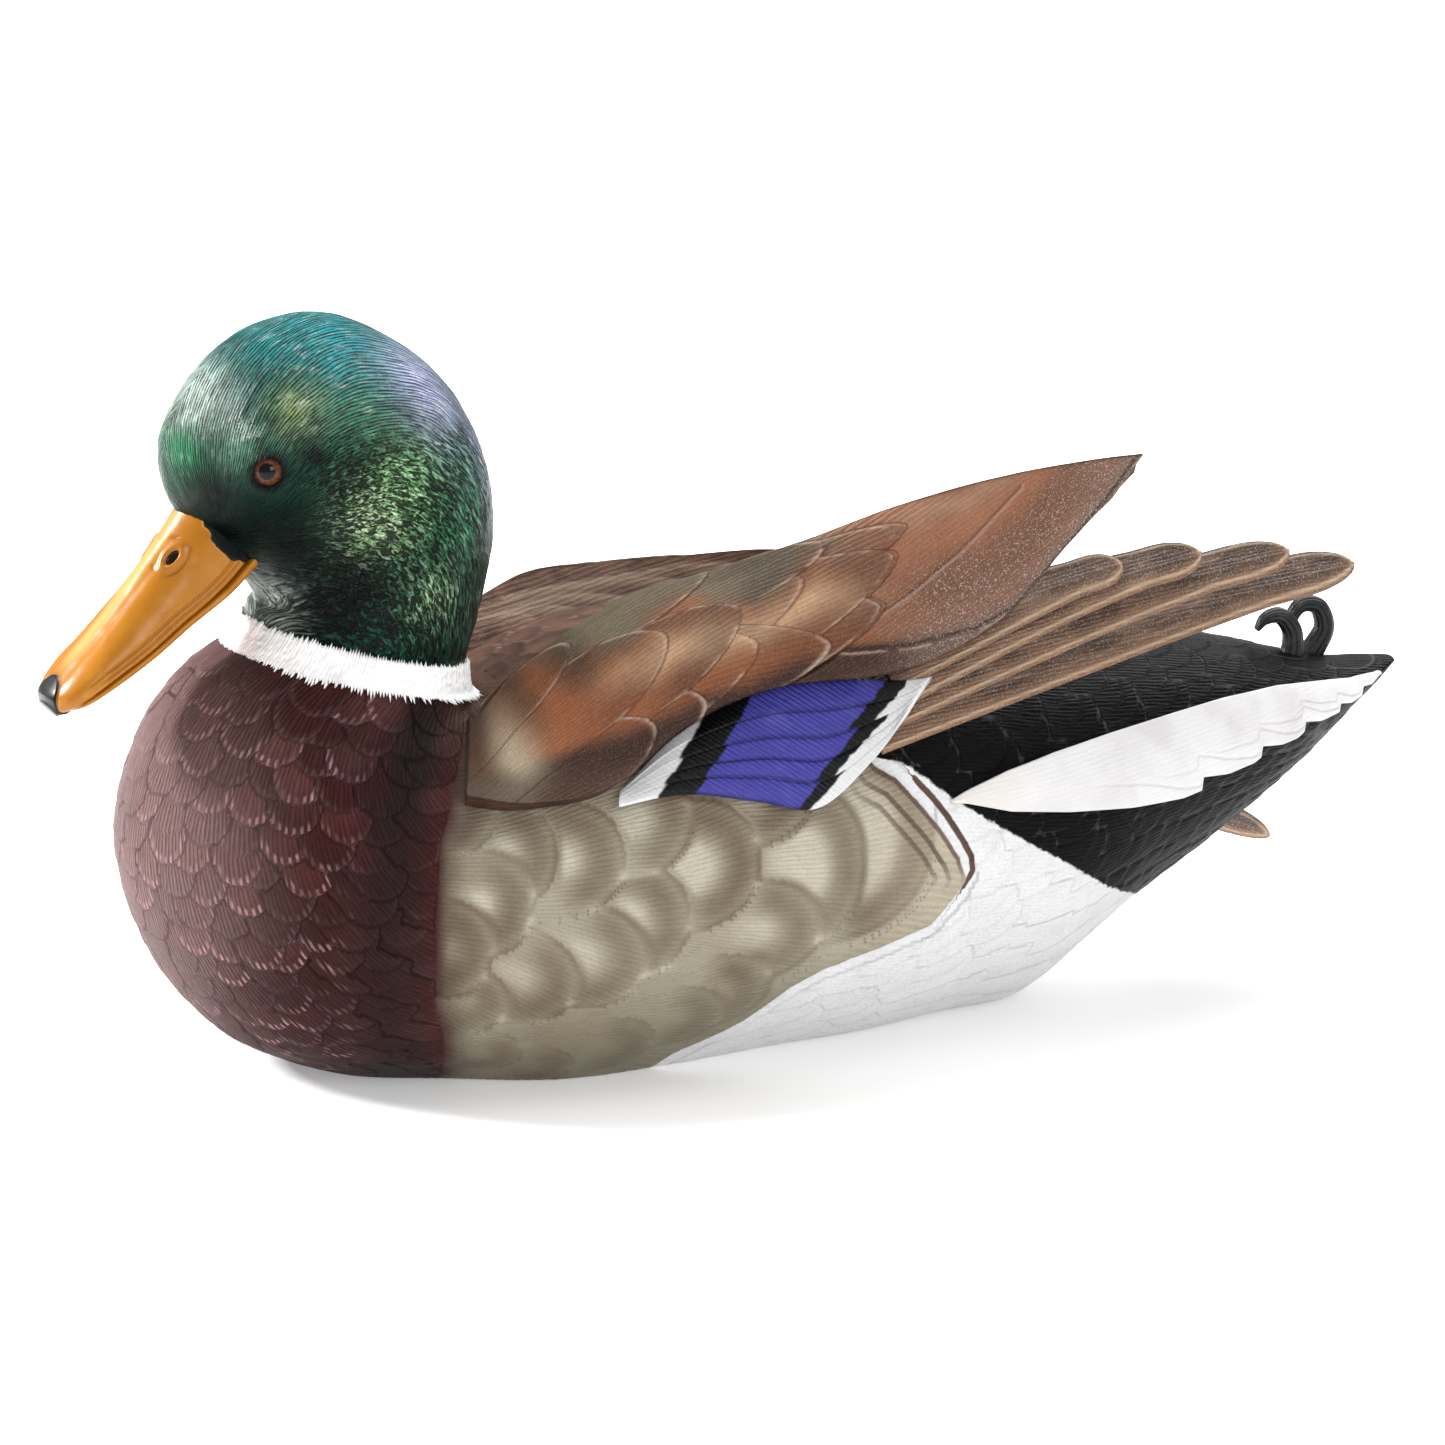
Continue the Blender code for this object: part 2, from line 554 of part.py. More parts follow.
def eye_solid(side, grow=0.0):
    """A glass eye: a dome in front, a short round stem behind."""
    outward = Vector((EYE_OUTWARD.x * side, EYE_OUTWARD.y, EYE_OUTWARD.z))
    centre = Vector((EYE_CENTRE.x * side, EYE_CENTRE.y, EYE_CENTRE.z))
    frame = Matrix.Translation(centre) @ outward.to_track_quat("Z", "Y").to_matrix().to_4x4()
    radius = EYE_RADIUS + grow
    arc = [(radius * math.cos(a), radius * math.sin(a)) for a in np.linspace(0, math.pi / 2, 7)[:-1]]
    return turned([(0, -5 - grow), (radius, -5 - grow), *arc, (0, radius)], 24, frame)


def make_neck_hardware():
    """Bolt, washers and insert on the neck axis. They turn with the head."""
    frame = neck_frame()
    inner, outer, thick = FRICTION_WASHER
    deck = -DECK_THICKNESS
    low = thick + 2 * GAP
    hexagon = turned([(0, deck - 10.2), (7.5, deck - 10.2), (7.5, deck - 4.7), (0, deck - 4.7)], 6, frame)
    bolt = add("neck_bolt", hexagon, "steel", 30.0)
    shank = add("bolt_shank", rod(BOLT_RADIUS, deck - 6.0, BOLT_REACH, 20, frame), "steel")
    boolean(bolt, shank, "UNION")
    return [
        bolt,
        add("neck_washer", washer(BOLT_HOLE_RADIUS, 12.5, deck - GAP - 1.6, deck - GAP, 32, frame), "steel"),
        add("neck_spring_washer", washer(BOLT_HOLE_RADIUS, 7.2, deck - 4.4, deck - 2.2, 28, frame), "steel"),
        add("neck_friction_washer", washer(inner, outer, GAP, GAP + thick, 40, frame), "rubber"),
        add("head_insert", washer(BOLT_RADIUS + GAP, INSERT_RADIUS, low, low + INSERT_LENGTH, 24, frame),
            "brass"),
    ]


def make_collar():
    inner = NECK_RADIUS + COLLAR_CLEARANCE
    profile = [
        (inner, GAP), (SEAT_RADIUS - 0.2, GAP), (SEAT_RADIUS - 0.3, 3.0), (35.2, 6.0),
        (COLLAR_TOP_RADIUS, COLLAR_HEIGHT - 0.8), (COLLAR_TOP_RADIUS - 0.7, COLLAR_HEIGHT),
        (inner, COLLAR_HEIGHT),
    ]
    return add("neck_collar", turned(profile, 48, neck_frame()), "white")


def primary_rows(feather):
    """A flight feather's two edges, from root to a rounded tip."""
    root, tip = np.array(feather[0:3]), np.array(feather[3:6])
    width, arch = feather[6:8]
    along = (tip - root) / np.linalg.norm(tip - root)
    outward = np.array([0.80, -0.10, 0.55])
    outward -= along * (outward @ along)
    outward /= np.linalg.norm(outward)
    across = np.cross(outward, along)
    rows = []
    for t in (0.0, 0.2, 0.4, 0.6, 0.76, 0.88, 0.95, 0.985, 1.0):
        blade = 0.75 + 0.25 * math.sin(math.pi * min(t / 0.8, 1.0))
        round_tip = math.sqrt(max(1 - max((t - 0.80) / 0.20, 0) ** 2, 0.012))
        half = width / 2 * blade * round_tip
        middle = root + (tip - root) * t + np.array([0, 0, arch * math.sin(math.pi * t)])
        rows.append((*(middle - across * half), *(middle + across * half), 0.6 * round_tip, PRIMARY_THICKNESS))
    return rows


def make_wing(side):
    wing = add(f"wing_{side}", loft(wing_hoops(side)), "wing")
    fit = loft(body_hoops(2, 36, -2 * GAP))
    boolean(wing, add(f"cut_body_fit_{side}", fit, "wing"))
    boolean(wing, add(f"peg_{side}", wing_pegs(side), "wing"), "UNION")
    fan = add(f"secondaries_{side}", sheet(sided(smooth_rows(SECONDARY_ROWS, 2), side), 7), "speculum")
    feathers = []
    for number, feather in enumerate(PRIMARIES, 1):
        rows = sided(primary_rows(feather), side)
        feathers.append(add(f"primary_{side}_{number}", sheet(rows, 5, 0.6), "feather"))
    return [wing, fan, *feathers]


def make_tail():
    for side in ("left", "right"):
        rows = smooth_rows(TAIL_SIDE_ROWS, 2)
        rows = mirrored(rows) if side == "right" else rows
        add(f"tail_feathers_{side}", sheet(rows, 5, 0.6), "white")
    for name, path in (("front", CURL_FRONT), ("rear", CURL_REAR)):
        add(f"tail_curl_{name}", curl(path, CURL_X[name]), "black")


def fit_tail_to_body():
    """Seats in the body for the tail's side feathers and its two curls."""
    body = bpy.data.objects["body_shell"]
    for side in ("left", "right"):
        rows = np.array(smooth_rows(TAIL_SIDE_ROWS, 2))
        rows[:, 7] += 2.5 * GAP
        rows[0, [1, 4]] -= 2 * GAP
        rows[-1, [1, 4]] += 2 * GAP
        rows[:, 2] += 2 * GAP
        rows[:, 5] -= 2 * GAP
        rows = mirrored(rows) if side == "right" else rows
        boolean(body, add(f"cut_tail_{side}", sheet(rows, 5, 0.8), "body"))
    for name, path in (("front", CURL_FRONT), ("rear", CURL_REAR)):
        grown = [(y, z, width + 2 * GAP, thick + 3 * GAP) for y, z, width, thick in path[:4]]
        y, z, width, thick = grown[0]
        grown[0] = (y - 0.4 * GAP, z - 2 * GAP, width, thick)
        boolean(body, add(f"cut_curl_{name}", curl(grown, CURL_X[name]), "body"))


def curl(path, x):
    """A rolled feather: a flat oval section that follows a path in a vertical plane."""
    table = np.array(smooth_rows(path, 3))
    tangent = np.gradient(table[:, :2], axis=0)
    tangent /= np.linalg.norm(tangent, axis=1)[:, None]
    hoops = []
    for (y, z, width, thick), (ty, tz) in zip(table, tangent):
        angles = 2 * math.pi * np.arange(10) / 10
        hoops.append([
            (x + width / 2 * math.cos(a), y - tz * thick / 2 * math.sin(a), z + ty * thick / 2 * math.sin(a))
            for a in angles
        ])
    return loft(hoops)


def make_base():
    boss = (POCKET_SIZE[0] + 2 * POCKET_WALL, POCKET_SIZE[1] + 2 * POCKET_WALL)
    pocket_centre_y = TIE_Y + POCKET_SIZE[1] / 2 - 4.0
    plate = add("base_plate", prism(base_outline(PLATE_INSET), 0.0, PLATE_THICKNESS), "base", 30.0)
    housing = box((*boss, 10.0), (0, pocket_centre_y, 6.5))
    boolean(plate, add("pocket_housing", housing, "base"), "UNION")
    cavity = box((POCKET_SIZE[0], POCKET_SIZE[1], 2 * POCKET_SIZE[2]), (0, pocket_centre_y, 0))
    cuts = [cavity]
    plate_top = PLATE_THICKNESS + 1.0
    for x, y in screw_places():
        cuts.append(turned([
            (0, -1), (SCREW_HEAD_RADIUS + GAP, -1), (SCREW_HEAD_RADIUS + GAP, SCREW_HEAD_HEIGHT + GAP),
            (SCREW_RADIUS + GAP, SCREW_HEAD_HEIGHT + GAP), (SCREW_RADIUS + GAP, plate_top), (0, plate_top),
        ], 16, at(x, y)))
    for y in BALLAST_SCREW_Y:
        cuts.append(turned([
            (0, -1), (4.3, -1), (4.3, 2.6), (2.3, 2.6), (2.3, plate_top), (0, plate_top)], 16, at(0, y)))
    cuts.append(turned([
        (0, -1), (PLUG_HEAD_RADIUS + GAP, -1),
        (PLUG_HEAD_RADIUS + GAP, PLUG_HEAD_HEIGHT + SEAL_THICKNESS + 3 * GAP),
        (PLUG_SHANK_RADIUS + GAP, PLUG_HEAD_HEIGHT + SEAL_THICKNESS + 3 * GAP),
        (PLUG_SHANK_RADIUS + GAP, plate_top), (0, plate_top)], 32, at(0, PLUG_Y)))
    boolean(plate, add("cut_plate", merged(cuts), "base"))

    gasket_low = PLATE_THICKNESS + GAP
    gasket = prism(base_outline(PLATE_INSET), gasket_low, gasket_low + GASKET_THICKNESS, base_outline(LEDGE_INSET))
    gasket = add("base_gasket", gasket, "rubber", 30.0)
    holes = merged([rod(SCREW_RADIUS + GAP, 4.0, 8.0, 12, at(x, y)) for x, y in screw_places()])
    boolean(gasket, add("cut_gasket", holes, "rubber"))

    for number, (x, y) in enumerate(screw_places(), 1):
        profile = [
            (0, 0.2), (SCREW_HEAD_RADIUS, 0.2), (SCREW_HEAD_RADIUS, SCREW_HEAD_HEIGHT),
            (SCREW_RADIUS, SCREW_HEAD_HEIGHT), (SCREW_RADIUS, SCREW_LENGTH - 1), (0, SCREW_LENGTH),
        ]
        add(f"base_screw_{number}", turned(profile, 14, at(x, y)), "steel", 30.0)


def make_ballast():
    low = PLATE_THICKNESS + GAP
    near, far = BALLAST_Y
    outline = []
    for end, turn in ((far, 0.0), (near, math.pi)):
        half = BALLAST_HALF_WIDTH * (0.80 if end == far else 1.0)
        centre = end - half * math.copysign(1, end)
        for a in np.linspace(turn, turn + math.pi, 13):
            outline.append((half * math.cos(a), centre + half * math.sin(a)))
    ballast = add("ballast_weight", prism(outline, low, low + BALLAST_HEIGHT), "lead", 30.0)
    holes = merged([rod(2.3, 4.0, 14.5, 16, at(0, y)) for y in BALLAST_SCREW_Y])
    boolean(ballast, add("cut_ballast", holes, "lead"))
    for number, y in enumerate(BALLAST_SCREW_Y, 1):
        profile = [(0, 0.2), (4.0, 0.2), (4.0, 2.3), (2.0, 2.3), (2.0, 13.0), (0, 14.0)]
        add(f"ballast_screw_{number}", turned(profile, 16, at(0, y)), "steel", 30.0)


def make_plug():
    shank_top = PLUG_LENGTH
    profile = [
        (0, 0.2), (PLUG_HEAD_RADIUS, 0.2), (PLUG_HEAD_RADIUS, PLUG_HEAD_HEIGHT),
        (PLUG_SHANK_RADIUS, PLUG_HEAD_HEIGHT), (PLUG_SHANK_RADIUS, shank_top - 1), (0, shank_top - 1),
    ]
    plug = add("drain_plug", turned(profile, 32, at(0, PLUG_Y)), "brass", 30.0)
    boolean(plug, add("cut_coin_slot", box((12.0, 1.8, 3.0), (0, PLUG_Y, 0.0)), "brass"))
    seal_low = PLUG_HEAD_HEIGHT + GAP
    seal = washer(PLUG_SHANK_RADIUS + GAP, PLUG_SHANK_RADIUS + GAP + SEAL_WIDTH, seal_low,
                  seal_low + SEAL_THICKNESS, 32, at(0, PLUG_Y))
    add("plug_seal", seal, "rubber")


def make_line_tie():
    """A D-ring whose straight bar turns in a clip, folded up inside the pocket."""
    half, depth = RING_BAR_LENGTH / 2, RING_DEPTH
    corner = 3.0
    path = [(-half + corner, 0), (0, 0), (half - corner, 0)]
    path += [(half - corner + corner * math.sin(a), corner - corner * math.cos(a)) for a in (0.5, 1.0, 1.5)]
    arc = [math.pi * k / 8 for k in range(1, 8)]
    path += [(half * math.cos(a), corner + 1.5 + (depth - corner - 1.5) * math.sin(a)) for a in arc]
    path += [(-half + corner - corner * math.sin(a), corner - corner * math.cos(a)) for a in (1.5, 1.0, 0.5)]
    bm = bmesh.new()
    loops = []
    centres = [Vector((x, TIE_Y + y, RING_PIVOT_Z)) for x, y in path]
    for k, centre in enumerate(centres):
        ahead = (centres[(k + 1) % len(centres)] - centres[k - 1]).normalized()
        side = ahead.cross(Vector((0, 0, 1)))
        loops.append([
            bm.verts.new(centre + RING_WIRE_RADIUS * (side * math.cos(a) + Vector((0, 0, 1)) * math.sin(a)))
            for a in (2 * math.pi * n / 8 for n in range(8))
        ])
    for k, near in enumerate(loops):
        far = loops[(k + 1) % len(loops)]
        for n in range(8):
            m = (n + 1) % 8
            bm.faces.new((near[n], near[m], far[m], far[n]))
    add("line_ring", bm, "steel")
    roof = POCKET_SIZE[2] - GAP
    clip_low = RING_PIVOT_Z - CLIP_SIZE[1] / 2
    clip = add("line_clip", box((CLIP_SIZE[0], CLIP_SIZE[1], roof - clip_low),
                                (0, TIE_Y, (roof + clip_low) / 2)), "steel", 30.0)
    bore = Matrix.Translation((0, TIE_Y, RING_PIVOT_Z)) @ Matrix.Rotation(math.pi / 2, 4, "Y")
    boolean(clip, add("cut_clip", rod(RING_WIRE_RADIUS + GAP, -9, 9, 20, bore), "steel"))


def turn_head(objects):
    """Sets the head a little towards the duck's left, about the neck axis."""
    frame = Matrix.Translation(NECK_SEAT * MM) @ Matrix.Rotation(-NECK_TILT, 4, "X")
    turn = frame @ Matrix.Rotation(HEAD_REST_TURN, 4, "Z") @ frame.inverted()
    for obj in objects:
        obj.data.transform(turn)
        for modifier in obj.modifiers:
            modifier.object.data.transform(turn)


def main():
    clear_scene()
    make_body()
    head_parts = make_head()
    turn_head(head_parts)
    make_neck_hardware()
    make_collar()
    for side in ("left", "right"):
        make_wing(side)
        pegs = bpy.data.objects[f"peg_{side}"]
        sockets = add(f"cut_pegs_{side}", wing_pegs(side, GAP), "body")
        boolean(bpy.data.objects["body_shell"], sockets)
        assert pegs.hide_render
    make_tail()
    fit_tail_to_body()
    make_base()
    make_ballast()
    make_plug()
    make_line_tie()


main()
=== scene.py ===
"""Looks of the floating mallard drake decoy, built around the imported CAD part.

Tables are in millimetres in the part's own frame: -Y is the way the duck swims, +X its left, +Z up.
Painted surfaces are closed meshes whose feathers stand in relief. Their colour comes from point
attributes, and nodes add barbs, brush marks and sheen.
"""

import math

import bpy
import numpy as np
from mathutils import Matrix, Vector


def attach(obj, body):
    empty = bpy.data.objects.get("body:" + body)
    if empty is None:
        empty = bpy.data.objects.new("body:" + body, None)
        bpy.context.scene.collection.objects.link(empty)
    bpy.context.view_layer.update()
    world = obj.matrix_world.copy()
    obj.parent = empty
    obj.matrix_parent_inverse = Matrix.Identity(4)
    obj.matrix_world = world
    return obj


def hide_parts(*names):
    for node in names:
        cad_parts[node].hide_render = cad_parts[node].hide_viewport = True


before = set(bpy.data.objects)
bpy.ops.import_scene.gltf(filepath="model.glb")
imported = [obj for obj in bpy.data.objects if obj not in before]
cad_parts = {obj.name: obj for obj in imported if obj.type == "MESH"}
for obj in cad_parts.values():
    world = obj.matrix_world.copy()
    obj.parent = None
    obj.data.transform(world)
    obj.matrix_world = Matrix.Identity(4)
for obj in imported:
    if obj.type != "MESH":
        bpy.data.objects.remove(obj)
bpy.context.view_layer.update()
MM = 0.001

# ---------------------------------------------------------------- shape tables, as the CAD part has them
BODY_HOOPS = (
    (232, 92.6, 231, 90.2, 4, 0.4, 2, 2),
    (222, 93.5, 219, 80, 12.5, 0.4, 2, 1.9),
    (206, 95.5, 201, 63.5, 20.5, 0.38, 2, 1.8),
    (188, 100, 182.5, 49.5, 29.5, 0.37, 2, 1.75),
    (168, 105, 163, 37, 37.5, 0.38, 2, 1.75),
    (147, 108.5, 143, 24.5, 46, 0.39, 2, 1.7),
    (126, 111, 123.5, 11, 54, 0.41, 2.1, 1.7),
    (102, 113.5, 104, -0.6, 61, 0.43, 2.2, 1.8),
    (78, 116, 77, -2.6, 67, 0.45, 2.3, 1.9),
    (50, 119, 50, -5, 73, 0.47, 2.4, 2),
    (20, 121.5, 18, -7, 77, 0.47, 2.5, 2),
    (-10, 121.5, -16, -11, 78, 0.48, 2.5, 2),
    (-32, 117.5, -48, -13, 77.5, 0.49, 2.5, 2),
    (-46, 112, -80, -6.5, 75, 0.5, 2.5, 2),
    (-54, 108, -108, -1.5, 71.5, 0.52, 2.4, 2),
    (-58, 106.5, -134, 10, 66, 0.53, 2.3, 2),
    (-59.6, 105.4, -154.5, 35, 60, 0.54, 2.2, 2),
    (-60.4, 105.2, -163, 66, 53, 0.54, 2.1, 2),
    (-60.8, 105.2, -157, 94, 46, 0.53, 2, 2),
    (-61, 105.3, -145, 112.5, 40.5, 0.52, 2, 2),
)
NECK_TILT = math.radians(14.5)
NECK_SEAT = np.array([0, -96, 114.5])
SEAT_RADIUS = 36
COLLAR_HEIGHT = 9
NECK_RADIUS = 32
HEAD_REST_TURN = math.radians(9)
HEAD_HOOPS = (
    (-58.6, 129, -123, 136.5, 31.2, 0.48, 2, 2),
    (-56.2, 140, -130, 146, 31.8, 0.45, 2.1, 1.8),
    (-54.6, 150.5, -139, 155, 32.2, 0.43, 2.2, 1.75),
    (-54.6, 162, -148, 164, 32.2, 0.42, 2.2, 1.85),
    (-56.8, 173.5, -151.8, 174, 31.2, 0.42, 2.2, 1.95),
    (-61.5, 185, -151.5, 184.5, 29.3, 0.43, 2.1, 2),
    (-68, 195, -146.5, 194.5, 26.2, 0.45, 2, 2),
    (-77.5, 203.8, -138.5, 204.2, 21.8, 0.47, 2, 2),
    (-88, 210.5, -128, 211.5, 15.5, 0.5, 2, 2),
    (-98, 214.8, -116, 215.4, 8, 0.5, 2, 2),
    (-104.5, 216.2, -110.5, 216.4, 2.6, 0.5, 2, 2),
)
UPPER_BILL_HOOPS = (
    (-141, 171, -125, 158, 12.5, 0.7, 2.2, 2.6),
    (-147.5, 164.5, -131, 150.5, 13.4, 0.75, 2, 2.8),
    (-156.5, 152.8, -138.5, 142.5, 12.2, 0.78, 2, 3),
    (-164.5, 142.8, -149.5, 134.8, 12, 0.78, 2.2, 3),
    (-173, 132.8, -160.5, 127.2, 12.8, 0.76, 2.4, 3),
    (-181.5, 124, -172.5, 119.8, 13.2, 0.7, 2.6, 2.8),
    (-186.6, 117.8, -181, 113.2, 10.8, 0.62, 2.4, 2.4),
    (-188.6, 113.6, -185.4, 109.6, 5.4, 0.5, 2, 2),
)
LOWER_BILL_HOOPS = (
    (-124.2, 156.6, -121, 152.5, 11.5, 0.35, 2.4, 2),
    (-130.2, 149.2, -127.2, 145.2, 11.3, 0.35, 2.4, 2),
    (-137.8, 141.6, -135.2, 138, 10.6, 0.35, 2.6, 2),
    (-148.9, 133.9, -146.7, 130.6, 10.4, 0.35, 2.6, 2),
    (-160, 126.2, -158.2, 122.6, 10.8, 0.35, 2.6, 2),
    (-171.9, 118.8, -170.5, 115.4, 10.6, 0.35, 2.6, 2),
    (-178.8, 113.4, -177.6, 110.8, 8, 0.4, 2.4, 2),
    (-182.6, 111, -181.9, 109.4, 4, 0.4, 2.2, 2),
)
EYE_CENTRE = np.array([21.4, -130, 178])
EYE_RADIUS = 4.4
WING_ROWS = (
    (30, -70, 104, 60, -80, 88.5, 1.5, 45, 70, 15, 85),
    (38, -57, 119, 70, -65, 87, 4, 50, 75, 12, 95),
    (44, -30, 137.5, 75, -43, 90.5, 5.5, 58, 84, 8, 105),
    (47.5, -5, 144.5, 74, -19.5, 106, 5.5, 56, 112, 8, 108),
    (49, 22, 151.5, 71, 7, 114, 5, 54, 123, 14, 110),
    (49.5, 48.5, 159.2, 68, 37, 114.2, 4.5, 57, 125, 27, 124),
    (49.5, 70, 164, 64.5, 59, 117.3, 4, 60.5, 123, 39.5, 147),
    (49.5, 92, 167.3, 59.5, 81, 127, 3, 57, 129, 44.5, 161),
    (48.8, 112, 169, 54.5, 101, 144, 2, 52, 145.5, 45, 164.5),
    (48, 127.5, 169.5, 50, 122.5, 162.5, 0.3, 48.4, 163.3, 46.4, 168),
)
SECONDARY_ROWS = (
    (71.5, -39, 89, 76, -41, 86, 0.2, 1.6),
    (67.5, -20, 103.5, 78.6, -22.5, 88.5, 1, 2.2),
    (63.8, 5, 113, 80, -2, 85, 1.4, 2.4),
    (62.6, 28, 114, 79.5, 16.5, 81.5, 1.6, 2.4),
    (64.6, 46, 112.5, 76, 34, 93, 1, 2.2),
    (64.6, 56, 112.5, 72, 45.5, 104, 0.6, 1.8),
)
PRIMARIES = (
    (60.9, 44, 113.2, 46, 122, 137, 15, 3.5),
    (62.3, 42, 107.9, 39.5, 150, 137, 16.5, 5.5),
    (63.8, 40, 102.9, 31.5, 182, 134, 16.5, 5.5),
    (65.4, 38, 97.2, 22, 208, 126.5, 16, 4),
)
PRIMARY_THICKNESS = 1.4
DROOP_START, DROOP_SLOPE, DROOP_CURVE = -90, 0.14, 0.00074
SPREAD_SLOPE, SPREAD_CURVE, TRAIL_CURVE = 0.065, 0.00038, 0.00024
TAIL_SIDE_ROWS = (
    (67.5, 65, 79, 68, 66, 76, 0.2, 1.2),
    (61.5, 91, 85.3, 64.5, 95, 69, 0.8, 2.4),
    (51, 118.5, 90.6, 58, 124.5, 67, 1, 2.6),
    (40.5, 147, 93.2, 48.5, 153, 63.8, 1, 2.8),
    (30.8, 174.5, 93.2, 37, 178.5, 68.5, 1, 2.8),
    (20.8, 198.5, 91.2, 24.8, 203, 76.7, 0.8, 2.4),
    (12.8, 219, 90.4, 14.8, 221.5, 84, 0.3, 1.6),
)
CURLS = {
    "front": (3.6, (
        (196.5, 93.6, 5, 5.4), (197.6, 98.6, 4.6, 4.6), (197, 104, 4.4, 4),
        (193.2, 108.2, 4, 3.4), (188.4, 107.6, 3.2, 2.6), (185.6, 104.4, 1.8, 1.2))),
    "rear": (-3.4, (
        (205, 92.6, 5.6, 5.4), (208.8, 97, 5, 4.8), (211.4, 102.4, 4.8, 4.2),
        (209, 108.6, 4.4, 3.6), (203.6, 109.4, 4, 3.2), (200.4, 105.4, 3.4, 2.6),
        (201.2, 101.2, 2.4, 1.6))),
}

# ---------------------------------------------------------------- paint outlines, (y, z) seen from the side
BREAST_EDGE = ((-62, 118), (-71, 103), (-80, 91), (-88, 76), (-92, 56), (-92, 33), (-82, 3), (-80, -10))
PAINTED_EDGE = (
    (30, 135), (31, 100), (37, 89.5), (43, 86), (50, 78), (57, 70), (63, 61), (65.5, 54), (64, 51),
    (55, 41), (39, 36), (22, 31), (13, 26), (1, 15), (-17, 4), (-26, -6), (-30, -40),
)
TIP_LINE = ((49.5, 85), (52, 82), (55, 79), (59.5, 73), (64, 66), (67.3, 60.5), (68, 56), (65, 51.5))
BLACK_EDGE = (
    (34, 135), (36, 97), (40, 92), (47, 89), (54, 84), (60, 79), (68, 73.5), (82, 64.5), (97, 55.5),
    (120, 41), (146, 28), (165, 18), (190, 0),
)
# Flank feathers: tip (y, z), how far the tip points up in degrees, half width, length of the rounded end
FLANK_FEATHERS = (
    (-57, 73, 0, 15, 15), (-39, 74, 8, 16, 18), (0, 71, 10, 19, 22), (32, 62, -4, 25, 24),
    (-65, 57, -12, 15, 15), (-21, 53, 0, 18, 20), (19, 43, -10, 16, 20), (-34, 36, -24, 16, 20),
    (6, 29, 4, 14, 17), (-54, 30, -30, 15, 18), (-7, 19, -8, 13, 15), (-73, 25, -34, 12, 14),
    (-26, 11, -5, 14, 15), (-65, 7, -28, 12, 13), (-20, 84, 8, 16, 16), (-70, 84, 0, 14, 14),
    (16, 88, 4, 16, 18), (-76, 45, -14, 14, 14), (-48, 2, -20, 13, 13), (54, 74, 6, 30, 30),
)
# Wing feathers, front to back: tip (y, z), rise in degrees, half width, length, pointedness
WING_FEATHERS = (
    (-46, 127, 45, 9, 22, 1.7), (-22, 130, 33, 12, 26, 1.7), (-34, 121, 28, 12, 26, 1.7),
    (-28, 106, 24, 12, 30, 1.7), (-6, 146, 26, 8, 26, 1.7), (-2, 138, 32, 12, 30, 1.7),
    (-14, 112, 18, 13, 30, 1.7), (2, 127, 19, 13, 34, 1.6), (28, 154, 24, 8, 30, 1.6),
    (24, 126, 9, 13, 40, 1.5), (18, 145, 24, 11, 32, 1.6), (46, 151, 24, 12, 40, 1.5),
    (41, 136, 14, 13, 42, 1.5), (50, 158, 24, 8, 36, 1.5),
)
INNER_FEATHERS = (
    (-46, 122, 40, 8, 20, 1.7), (-30, 128, 32, 8, 24, 1.7), (-40, 112, 24, 8, 22, 1.7),
    (-12, 134, 28, 8, 26, 1.7), (-20, 118, 22, 9, 26, 1.7), (8, 140, 24, 8, 28, 1.7),
    (2, 124, 18, 9, 28, 1.7), (30, 147, 22, 8, 30, 1.7), (24, 131, 16, 9, 30, 1.7),
    (52, 154, 22, 8, 32, 1.7), (48, 140, 16, 9, 32, 1.7),
)
BIG_TERTIAL = ((16, 124.5), (30, 122.3), (50, 122), (71, 124.5), (84, 129), (98, 141), (112, 154), (130, 172))
ORANGE_EDGE = (
    (-90, 86), (-76, 90), (-55, 98), (-33, 106), (-16, 111), (0, 116), (21, 122), (50, 124), (130, 128),
)
SPECULUM_FEATHERS = (0.25, 0.46, 0.64, 0.8)


def srgb(r, g, b):
    """A paint colour from 0-255 screen values, as linear light."""
    c = np.array([r, g, b], float) / 255
    return np.where(c <= 0.04045, c / 12.92, ((c + 0.055) / 1.055) ** 2.4)


def step(x, low, high):
    """0 below low, 1 above high, smooth between them."""
    t = np.clip((np.asarray(x, float) - low) / (high - low), 0, 1)
    return t * t * (3 - 2 * t)


def unit(vectors):
    return vectors / np.linalg.norm(vectors, axis=-1, keepdims=True)


def lengths(points):
    """How far each point of a polyline is along it."""
    return np.r_[0, np.cumsum(np.linalg.norm(np.diff(points, axis=0), axis=1))]


def hump(x, centre, width):
    return np.exp(-(((np.asarray(x, float) - centre) / width) ** 2))


def mix(a, b, share):
    """Blend numbers or colours by shares of 0 to 1."""
    a, b, share = np.asarray(a, float), np.asarray(b, float), np.clip(np.asarray(share, float), 0, 1)
    if share.ndim and 3 in (a.shape[-1:] + b.shape[-1:]):
        share = share[..., None]
    return a * (1 - share) + b * share


def noise(points, size, seed=0):
    """Smooth repeatable noise in -1..1, with features of about that size."""
    q = np.asarray(points, float) / size + seed * 7.31
    cell = np.floor(q).astype(np.int64)
    f = q - cell
    f = f * f * (3 - 2 * f)
    total = np.zeros(len(q))
    for k in range(8):
        corner = np.array([k & 1, k >> 1 & 1, k >> 2 & 1])
        n = cell + corner
        h = (n[:, 0] * 73856093) ^ (n[:, 1] * 19349663) ^ (n[:, 2] * 83492791) ^ (seed * 9176263)
        h = (h ^ (h >> 13)) * 1274126177
        value = ((h ^ (h >> 16)) & 0xFFFF) / 32767.5 - 1
        total += value * np.where(corner, f, 1 - f).prod(axis=1)
    return total


